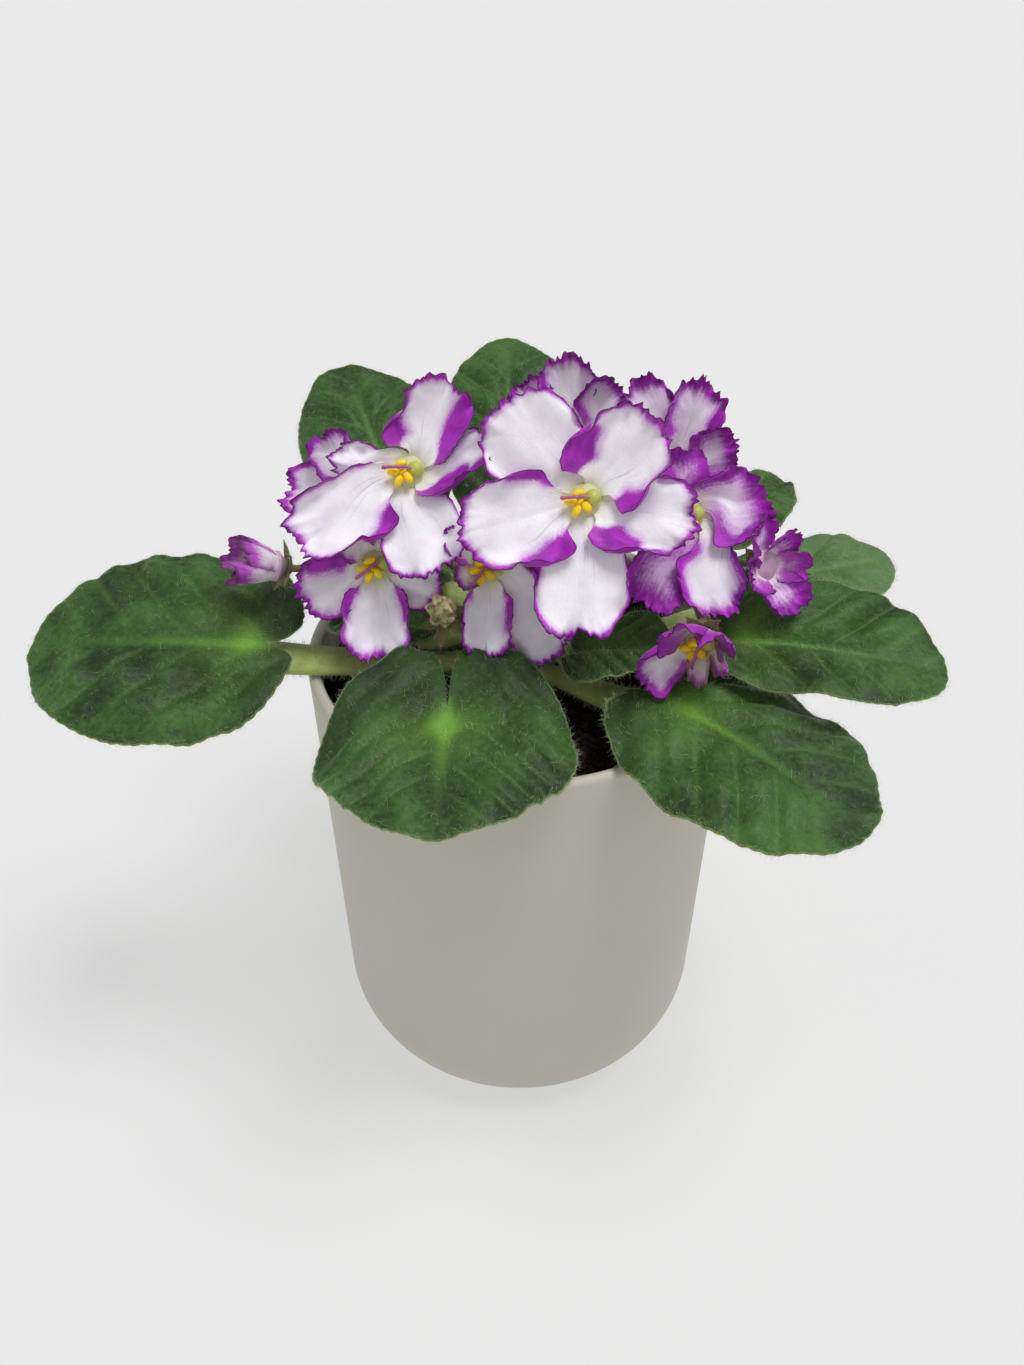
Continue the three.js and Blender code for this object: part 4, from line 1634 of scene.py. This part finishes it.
    def petal_skin(self, petal: Petal, order: int) -> Skin:
        """Makes a petal.

        Args:
            petal: the petal.
            order: its place among the bloom's petals.

        Returns:
            A thin skin with its marks.
        """
        bands = np.linspace(0, 1, self.rows + 1) ** 0.85
        strips = np.sin(np.linspace(-1, 1, self.columns + 1) * math.pi / 2 * 0.98)
        share, side = np.meshgrid(bands, strips, indexing="ij")
        side = side / np.abs(side).max()
        top = self.petal_points(petal, order, share, side)
        normals = unit(np.cross(np.gradient(top, axis=0), np.gradient(top, axis=1)))
        facing = unit(mix(np.broadcast_to(UP, normals.shape), normals, smooth(share, 0, 0.4)[..., None]))
        edge = petal.from_margin(share, side)
        thick = self.thickness * mix(0.4, 1.0, smooth(edge, 0, 1.5))
        below = top - facing * thick[..., None]
        middle, glow = np.hypot(top[..., 0], top[..., 1]), 0.9 if self.open else 0.35
        marks = {
            "edge": edge, "margin": petal.purple(share, side), "reach": share, "across": side,
            "number": np.full(share.shape, order + 5.0 * self.phase),
            "throat": np.exp(-((middle / 4.6) ** 2)) * glow,
        }
        return patch(self.world(top.reshape(-1, 3)), self.world(below.reshape(-1, 3)), share.shape,
                     {name: value.ravel() for name, value in marks.items()})

    def tube_skin(self) -> Skin:
        """Makes the funnel behind the petals.

        Returns:
            Its skin with its marks.
        """
        around = 32
        turns = np.arange(around) * TURN / around
        sections = [(-4.2, 2.2), (-2.6, 3.6), (-self.funnel, 4.2), (-self.funnel + 0.9, 4.2)]
        rings = [np.stack([radius * np.cos(turns), radius * np.sin(turns), np.full(around, height)], -1)
                 for height, radius in sections]
        skin = loft(self.world(np.array(rings)))
        count = len(skin.points)
        skin.marks = {"edge": np.full(count, 9.0), "margin": np.full(count, 9.0 if self.open else 0.9),
                      "throat": np.full(count, 0.8 if self.open else 0.3)}
        return skin

    def anthers(self) -> list[Skin]:
        """Makes two anthers joined face to face, which show as four plump lobes.

        Returns:
            The lobes and what joins them.
        """
        axes = self.axes()
        skins = []
        for x, y, turn in self.lobes:
            centre = self.world(np.array([x, y, self.throat_floor + 2.2]))
            skins.append(ball(centre, turned(turn) @ axes, self.lobe_radii))
        skins.append(ball(self.world(np.array([-1.3, -0.8, self.throat_floor + 1.0])), axes, (1.2, 1.2, 1.2)))
        return skins

    def pistil(self) -> list[Skin]:
        """Makes the ovary, and the slim curved style that leans out beside the anthers.

        Returns:
            The two of them, with the mark that tells them apart.
        """
        steps, around = 20, 10
        axes = self.axes()
        ovary = ball(self.world(np.array([1.9, 0.6, self.throat_floor + 0.7])), axes, (2.2, 2.1, 1.9))
        ovary.marks["style"] = np.zeros(len(ovary.points))
        knots = [(1.2, 0.6, 0.9), (-0.2, 0.8, 3.4), (-2.4, 0.5, 3.8), (-6.2, 0.1, self.throat_floor + 4.4)]
        leant = turned(math.radians(self.lean))
        path = self.world(bezier([np.array(k) @ leant for k in knots], steps))
        share = np.linspace(0, 1, steps)
        radius = self.style_radius + 0.25 * smooth(share, 0.9, 0.97) - 0.3 * smooth(share, 0.97, 1)
        style = tube(path, radius, radius, around)
        style.marks["style"] = np.repeat(0.45 + 0.55 * share, around)
        return [ovary, style]


BLOOMS = [
    Bloom("centre", (15.9, -11, 201), (-93, 32), 3, True, 0, [
        Petal(134, 32, 0.56, (-1.5, -1.8), 1.5),
        Petal(52, 26.5, 0.54, (2.2, 2.2), 1.9, (Flank(1, 0.5, 0.27, 10, 6.5), Flank(-1, 0.46, 0.2, 6, 5))),
        Petal(-10, 28.5, 0.46, (-1.8, 2), 1.9, (Flank(-1, 0.45, 0.24, 9, 6), Flank(-1, 0.95, 0.12, 3, 0))),
        Petal(-90, 34.5, 0.48, (-1.8, -1.8), 1.5, (Flank(-1, 0.72, 0.18, 4, 1.5),)),
        Petal(198, 32.5, 0.46, (2, 1.6), 1.9, (Flank(1, 0.56, 0.24, 8, 6), Flank(-1, 0.56, 0.18, 4.5, 2)))]),
    Bloom("upper_left", (-29.5, 2, 202), (-96, 36), 4, True, 2, [
        Petal(176, 20, 0.42, (-3, -1.6), 1.0, waist=0.0, back=2.5),
        Petal(65, 25, 0.44, (1.6, 1.4), 1.5, (Flank(-1, 0.72, 0.42, 8.5, 2), Flank(1, 0.42, 0.2, 6.5, 6))),
        Petal(20, 23.5, 0.34, (-1.8, 3), 1.5, (Flank(-1, 0.45, 0.3, 8, 4), Flank(-1, 0.85, 0.3, 4.5, 0))),
        Petal(-73, 28, 0.54, (-1.6, -1.8), 1.3),
        Petal(217, 34, 0.36, (2, 2), 1.5, (Flank(1, 0.52, 0.2, 5, 4.5),))]),
    Bloom("low_left", (-38.3, -6, 178), (-90, 26), 2, True, 4, [
        Petal(124, 16, 0.56), Petal(54, 16, 0.56), Petal(-25, 18, 0.5, (-1.6, -1.2), 1.6),
        Petal(-91, 25, 0.48, (1.6, 1.6), 2.2, (Flank(1, 0.55, 0.22, 4, 1), Flank(-1, 0.55, 0.2, 4, 1.5))),
        Petal(202, 22, 0.54, (-1.4, -1.2), 2.2, (Flank(-1, 0.6, 0.4, 7, 0),), haze=3)], lean=30),
    Bloom("low_middle", (-8.8, -10, 180), (-88, 26), 2, True, 1, [
        Petal(126, 15, 0.5), Petal(58, 15, 0.5), Petal(-51, 30, 0.4, (-1.4, -1.8), 1.8),
        Petal(-93, 23.5, 0.36, (1.8, 1), 1.6, (Flank(1, 0.62, 0.25, 3.5, 1),)), Petal(198, 9, 0.5)], lean=45),
    Bloom("right", (43.8, -4, 192), (-76, 30), 3, True, 3, [
        Petal(100, 18, 0.6, (1.8, -1.6), 8, (Flank(1, 0.6, 0.4, 9, 0),), haze=3),
        Petal(8, 20.5, 0.66, (1.2, 2), 6, (Flank(-1, 0.6, 0.3, 6, 3), Flank(-1, 0.9, 0.3, 9, 0),
                                           Flank(1, 0.8, 0.4, 6, 0)), haze=4),
        Petal(-79, 27, 0.48, (-1.4, 1.2), 3, (Flank(-1, 0.8, 0.4, 4, 0), Flank(1, 0.8, 0.4, 3.5, 0)), haze=3),
        Petal(234, 27, 0.42, (-1.6, -1.8), 9, haze=4), Petal(164, 14, 0.48, (1.6, -1.6), 3)]),
    Bloom("back_right", (42, 27, 191), (-84, 34), 4, False, 5, [
        Petal(114, 24, 0.5, (1.6, -1.6), 3.8, (Flank(1, 0.7, 0.3, 7, 1),)),
        Petal(62, 23, 0.46, (1.6, -1.6), 4.2, (Flank(-1, 0.7, 0.3, 6, 1),)),
        Petal(8, 18, 0.5, (1.6, -1.6), 5), Petal(-80, 14, 0.5, (1.6, -1.6), 5),
        Petal(188, 16, 0.5, (1.6, -1.6), 4)], 1.15),
    Bloom("back", (13, 33, 195), (-92, 34), 5, False, 6, [
        Petal(136, 20, 0.46, (1.6, -1.6), 2),
        Petal(90, 22, 0.5, (1.6, -1.6), 2.4, (Flank(1, 0.7, 0.3, 5, 1),)),
        Petal(40, 20, 0.5, (1.6, -1.6), 3, (Flank(-1, 0.8, 0.3, 4, 0),)),
        Petal(-70, 14, 0.5), Petal(196, 15, 0.5)], 1.1),
    Bloom("low_right", (45.8, -28.5, 168.5), (-100, -6), 8, True, 7, [
        Petal(124, 13.5, 0.6, (1.2, -1.2), 7), Petal(56, 11.5, 0.6, (1.2, -1.2), 8),
        Petal(-14, 7.5, 0.5, (1.2, -1.2), 2), Petal(-90, 6.5, 0.5, (1.2, -1.2), 1.2),
        Petal(202, 16, 0.5, (1.2, -1.2), 2.6, (Flank(-1, 0.7, 0.4, 5, 0),))], lean=75),
    Bloom("far_right", (65.5, -9, 180), (-54, 24), 4, False, 8, [
        Petal(110, 14, 0.6, (1.6, -1.6), 6.5), Petal(40, 10, 0.6, (1.6, -1.6), 6),
        Petal(-22, 9.5, 0.6, (1.6, -1.6), 6), Petal(-84, 13.5, 0.6, (1.6, -1.6), 6),
        Petal(184, 11, 0.6, (1.6, -1.6), 5)], 1.2),
    Bloom("far_left", (-47, 16, 187), (-128, 30), 5, False, 9, [
        Petal(122, 17, 0.55), Petal(56, 14, 0.5), Petal(-16, 12, 0.5), Petal(-88, 13, 0.5),
        Petal(194, 18, 0.55)], 1.1),
    Bloom("bud_left", (-68, -1, 175), (-160, 22), 9, False, 10, [
        Petal(126, 6.5, 0.66), Petal(54, 6.5, 0.66), Petal(-18, 6.5, 0.66), Petal(-90, 7, 0.66),
        Petal(198, 7, 0.66)]),
]


@dataclass
class Inflorescence:
    """All blooms."""

    blooms: list[Bloom]

    def build(self) -> None:
        """Makes each bloom's petals, anthers and pistil."""
        petal, pistil = PetalFinish().material(), PistilFinish().material()
        pollen = PlainFinish("anther", colour("ffe01c"), colour("f6c410"), 0.0014, 0.5, 0.00012).material()
        for bloom in self.blooms:
            node = f"bloom_{bloom.name}"
            skins = [bloom.petal_skin(p, order) for order, p in enumerate(bloom.petals)]
            skins.append(bloom.tube_skin())
            settle(make_piece(f"{node}_corolla", skins, petal), "petal", f"{node}_petals")
            if bloom.open:
                settle(make_piece(f"{node}_lobes", bloom.anthers(), pollen), "anther", f"{node}_anthers")
                settle(make_piece(f"{node}_pistil", bloom.pistil(), pistil), "style", f"{node}_style")


# ---------------------------------------------------------------- flower stems


@dataclass
class Head:
    """What a branch ends in.

    Args:
        at: a bloom's throat.
        face: the way it faces, as azimuth and elevation in degrees.
        lift: how far the tips of the calyx come forward.
    """

    at: Point
    face: tuple[float, float]
    lift: float = 2.0

    def frame(self) -> Bloom:
        """A bloom without petals, which gives the head its own frame."""
        return Bloom("", self.at, self.face, 0, False, 0, [])


@dataclass
class FlowerStem:
    """One flower stem: the main stem, a branch to each bloom, and the bloom's calyx.

    Args:
        name: its name in the part.
        root: the direction of its root on the crown, in degrees.
        fork: where it forks.
        blooms: the blooms that it carries.
        extra: another head that it carries.
        drop: how far behind a throat the calyx is.
        crown_top: the height of the crown, on which it stands.
        root_out: how far out its root is.
        straight: how far the stem and its branches run straight at their ends.
        stem_radius: the main stem's radius at the root and at the fork.
        branch_radius: a branch's radius at the fork and at the calyx.
        sepal_root: how far out a sepal starts.
        sepal_length: a sepal's length.
        sepal_half: half of its width.
    """

    name: str
    root: float
    fork: Point
    blooms: list[str]
    extra: Head | None = None

    drop: float = 5.7
    crown_top: float = Pot.crown_top
    root_out: float = 3.9
    straight: float = 9
    stem_radius: tuple[float, float] = (1.45, 1.3)
    branch_radius: tuple[float, float] = (0.95, 1.0)
    sepal_root: float = 0.8
    sepal_length: float = 6.7
    sepal_half: float = 1.75

    def skins(self) -> list[Skin]:
        """Makes the main stem, and for each bloom a branch and a calyx.

        Returns:
            All of its skins, with their mark for hairs.
        """
        fork, turn, out = np.array(self.fork, float), math.radians(self.root), self.root_out
        root = np.array([out * math.cos(turn), out * math.sin(turn), self.crown_top + GAP])
        knots = [root, root + self.straight * UP, fork - self.straight * UP, fork]
        skins = [self._bar(knots, *self.stem_radius)]
        heads = [Head(b.at, b.face) for name in self.blooms for b in BLOOMS if b.name == name]
        for head in [*heads, *([self.extra] if self.extra else [])]:
            own = head.frame()
            joint = own.world(np.array([0, 0, -self.drop - 0.5]))
            behind = own.world(np.array([0, 0, -self.drop - self.straight]))
            skins.append(self._bar([fork - 1.5 * UP, fork + 4 * UP, behind, joint], *self.branch_radius))
            skins += self._calyx(own, head.lift)
        for skin in skins:
            skin.marks["hairy"] = np.full(len(skin.points), 0.4)
        return skins

    @staticmethod
    def _bar(knots: list[Array], start: float, end: float) -> Skin:
        """A round bar along a curve, with its radius at the start and at the end."""
        radius = np.linspace(start, end, 20)
        return tube(bezier(knots, 20), radius, radius, 12)

    def _calyx(self, own: Bloom, lift: float) -> list[Skin]:
        """Makes a small cup with five pointed sepals.

        Args:
            own: the frame of the bloom that it holds.
            lift: how far the sepals' tips come forward.

        Returns:
            The cup and the sepals.
        """
        skins = [ball(own.world(np.array([0, 0, -self.drop + 0.1])), own.axes(), (1.9, 1.9, 1.1), 8)]
        share, side = np.meshgrid(np.linspace(0, 1, 13), np.linspace(-1, 1, 7), indexing="ij")
        wide = self.sepal_half * np.sin(math.pi * (0.2 + 0.8 * share)) ** 0.8 * (1 - share**4) + 0.06
        x, y = self.sepal_root + self.sepal_length * share, side * wide
        z = -self.drop + 0.5 + lift * share**1.6 + 0.5 * side**2 * (1 - share)
        for order in range(5):
            turn = math.radians(54 + 72 * order)
            cos, sin = math.cos(turn), math.sin(turn)
            top = np.stack([x * cos - y * sin, x * sin + y * cos, z], -1)
            below = top - UP * (0.55 - 0.25 * share[..., None])
            sides = [own.world(points.reshape(-1, 3)) for points in (top, below)]
            skins.append(patch(*sides, share.shape, {}))
        return skins


FADED = Head((-21, -16, 170), (-100, 60), -2.0)

STEMS = [
    FlowerStem("front", -70, (2, 3, 170), ["centre", "low_middle"], FADED),
    FlowerStem("left", 170, (-24, 12, 175), ["upper_left", "low_left", "far_left", "bud_left"]),
    FlowerStem("right", 5, (40, 15, 167), ["right", "low_right", "far_right"]),
    FlowerStem("back", 85, (20, 30, 176), ["back_right", "back"]),
]


@dataclass
class Stems:
    """The flower stems and the faded bloom.

    Args:
        stems: the stems.
        faded_radius: the faded bloom's greatest radius.
        faded_length: its length.
        faded_ribs: how many ribs it has.
        faded_twist: how far it is twisted from end to end, in radians.
        faded_profile: its width from its foot to its tip, as places along it and shares of its radius.
        faded_lumps: its crumples, each with its size, its height and what it adds to the seed.
    """

    stems: list[FlowerStem]
    faded_radius: float = 4.4
    faded_length: float = 11
    faded_ribs: int = 5
    faded_twist: float = 1.1
    faded_profile: tuple[Sequence[float], ...] = ((0, 0.15, 0.45, 0.75, 1), (0.4, 0.8, 1, 0.85, 0.35))
    faded_lumps: tuple[tuple[float, float, int], ...] = ((1.6, 0.45, 0), (0.9, 0.22, 1))

    def build(self) -> None:
        """Makes each stem with its hairs, and the faded bloom."""
        skin = GreenFinish("flower_stem_skin", colour("7d7a45"), colour("6d5540"), 0.006).material()
        down = HairTree("stem_hair", density=4.2, length=0.9, radius=0.035, lean=0.5, curl=0.35)
        hair = hair_material()
        for count, stem in enumerate(self.stems):
            node = f"flower_stem_{stem.name}"
            body = settle(make_piece(f"{node}_fine", stem.skins(), skin), "stem", node)
            settle(down.grow(f"{node}_hairs", body, count, hair), "stem")
        finish = PlainFinish("faded_petal", colour("c6ba94"), colour("77663f"), 0.0022, 0.85, 0.0004)
        settle(make_piece("faded_bloom", [self._faded()], finish.material()), "faded", "bloom_faded")

    def _faded(self) -> Skin:
        """Makes the shrivelled petals: a small twisted, ribbed and crumpled cone.

        Returns:
            Its skin.
        """
        steps, around = 34, 60
        # Just clear of the front of the calyx's cup.
        foot = -FlowerStem.drop + 0.8 + 0.1 + GAP
        share = np.linspace(0, 1, steps)[:, None]
        turn = np.arange(around)[None] * TURN / around + self.faded_twist * share
        width = np.interp(share, *self.faded_profile)
        ribs = 0.86 + 0.14 * np.cos(self.faded_ribs * (turn - self.faded_twist * share))
        height = np.broadcast_to(foot + self.faded_length * share, turn.shape)
        radius = self.faded_radius * width * ribs
        rings = np.stack([radius * np.cos(turn), radius * np.sin(turn), height], -1)
        crumple = layered(rings, 11, self.faded_lumps)
        rings[..., :2] *= (1 + crumple * width / 3.2)[..., None]
        return loft(FADED.frame().world(rings))


# ---------------------------------------------------------------- studio


class Sky(Enum):
    """A soft light: the way it comes from, its strength, and the angle that it fills, in degrees."""

    KEY = ((0.3, -0.1, 1.0), 2.05, 26.0)
    LEFT = ((-1.0, -0.1, 0.25), 0.4, 50.0)
    RIGHT = ((1.0, -0.1, 0.25), 0.4, 50.0)
    FRONT = ((-0.1, -1.0, 0.4), 0.18, 50.0)


@dataclass
class Studio:
    """A plain pale floor and backdrop, soft lights and a camera at the photograph's viewing angle.

    Args:
        target: what the camera looks at.
        elevation: how far the camera is above it, in degrees.
        distance: how far away the camera is.
        lens: the camera's focal length.
        floor_colour: the floor's colour.
        floor_light: how strongly the floor glows.
        floor_radius: how far the floor reaches.
        backdrop_light: how strongly the backdrop glows.
        backdrop_out: how much further out it stands than the floor reaches.
        ambient: the strength of the even light from all round.
    """

    target: Point = (-2.5, 0.0, 134.0)
    elevation: float = 38.0
    distance: float = 384.0
    lens: float = 35.0
    floor_colour: Colour = colour("919191")
    floor_light: float = 0.52
    floor_radius: float = 8000.0
    backdrop_light: float = 0.81
    backdrop_out: float = 1.05
    ambient: float = 0.36

    def build(self) -> None:
        """Makes the floor, backdrop, world, lights and camera."""
        scene = bpy.context.scene
        scene.view_settings.view_transform = "Standard"
        self._build_floor()
        self._build_backdrop()
        world = bpy.data.worlds.new("studio")
        world.use_nodes = True
        background = world.node_tree.nodes["Background"]
        background.inputs["Color"].default_value = (1.0, 1.0, 1.0, 1.0)
        background.inputs["Strength"].default_value = self.ambient
        scene.world = world
        for light in Sky:
            self._build_light(light)
        scene.camera = self._build_camera()

    @staticmethod
    def _surface(points: Array, faces: list[list[int]], name: str, base: Colour, roughness: float,
                 light: float) -> bpy.types.Object:
        """Makes an evenly glowing surface.

        Args:
            points: its points, in millimetres.
            faces: its faces' corner numbers.
            name: its name and its material's.
            base: its colour.
            roughness: its roughness.
            light: how strongly it glows.

        Returns:
            The object.
        """
        material = Paint(name).finish(Base_Color=(*base, 1.0), Roughness=roughness, Specular_IOR_Level=0.0,
                                      Emission_Color=(1.0, 1.0, 1.0, 1.0), Emission_Strength=light)
        mesh = bpy.data.meshes.new(name)
        mesh.from_pydata((points * MM).tolist(), [], faces)
        mesh.materials.append(material)
        surface = bpy.data.objects.new(name, mesh)
        bpy.context.scene.collection.objects.link(surface)
        return surface

    def _build_floor(self) -> None:
        """The floor: a wide flat disc, just below the pot's foot."""
        corners, height = 64, -0.05
        around = np.arange(corners) * TURN / corners
        reach = self.floor_radius
        points = np.stack([reach * np.cos(around), reach * np.sin(around), np.full(corners, height)], -1)
        floor = self._surface(points, [list(range(corners))], "studio_floor", self.floor_colour, 0.9,
                              self.floor_light)

    def _build_backdrop(self) -> None:
        """A pale round backdrop beyond the floor's edge, which lights nothing."""
        corners, bands = 48, 19
        turns, rises = np.arange(corners) * TURN / corners, np.radians(np.linspace(-30, 60, bands))
        radius = self.backdrop_out * self.floor_radius
        reach, height = radius * np.cos(rises)[:, None], radius * np.sin(rises)[:, None]
        rings = np.stack([reach * np.cos(turns), reach * np.sin(turns), np.repeat(height, corners, 1)], -1)
        faces = cells(bands, corners, wrap=True).tolist()
        backdrop = self._surface(rings.reshape(-1, 3), faces, "studio_backdrop", (0.0, 0.0, 0.0), 1.0,
                                 self.backdrop_light)
        backdrop.visible_diffuse = backdrop.visible_glossy = backdrop.visible_shadow = False

    def _build_light(self, light: Sky) -> None:
        """Makes a far, broad light, which falls evenly on the whole floor.

        Args:
            light: which of them.
        """
        way, strength, spread = light.value
        lamp = bpy.data.lights.new(f"light_{light.name.lower()}", "SUN")
        lamp.energy, lamp.angle = strength, math.radians(spread)
        holder = bpy.data.objects.new(lamp.name, lamp)
        holder.rotation_euler = (-Vector(way)).to_track_quat("-Z", "Y").to_euler()
        bpy.context.scene.collection.objects.link(holder)

    def _build_camera(self) -> bpy.types.Object:
        """Makes the camera, level and centred.

        Returns:
            The camera.
        """
        rise = math.radians(self.elevation)
        back = Vector((0, -math.cos(rise), math.sin(rise)))
        data = bpy.data.cameras.new("camera")
        data.lens, data.sensor_width, data.clip_start, data.clip_end = self.lens, 36.0, 0.01, 100.0
        camera = bpy.data.objects.new("camera", data)
        camera.location = (Vector(self.target) + back * self.distance) * MM
        camera.rotation_euler = (-back).to_track_quat("-Z", "Y").to_euler()
        bpy.context.scene.collection.objects.link(camera)
        return camera


def main() -> None:
    """Builds the plant and the studio round it."""
    logging.basicConfig(level=logging.INFO, format="%(message)s")
    Pot().build()
    Rosette(LEAVES).build()
    Inflorescence(BLOOMS).build()
    Stems(STEMS).build()
    Studio().build()


if __name__ == "__main__":
    main()
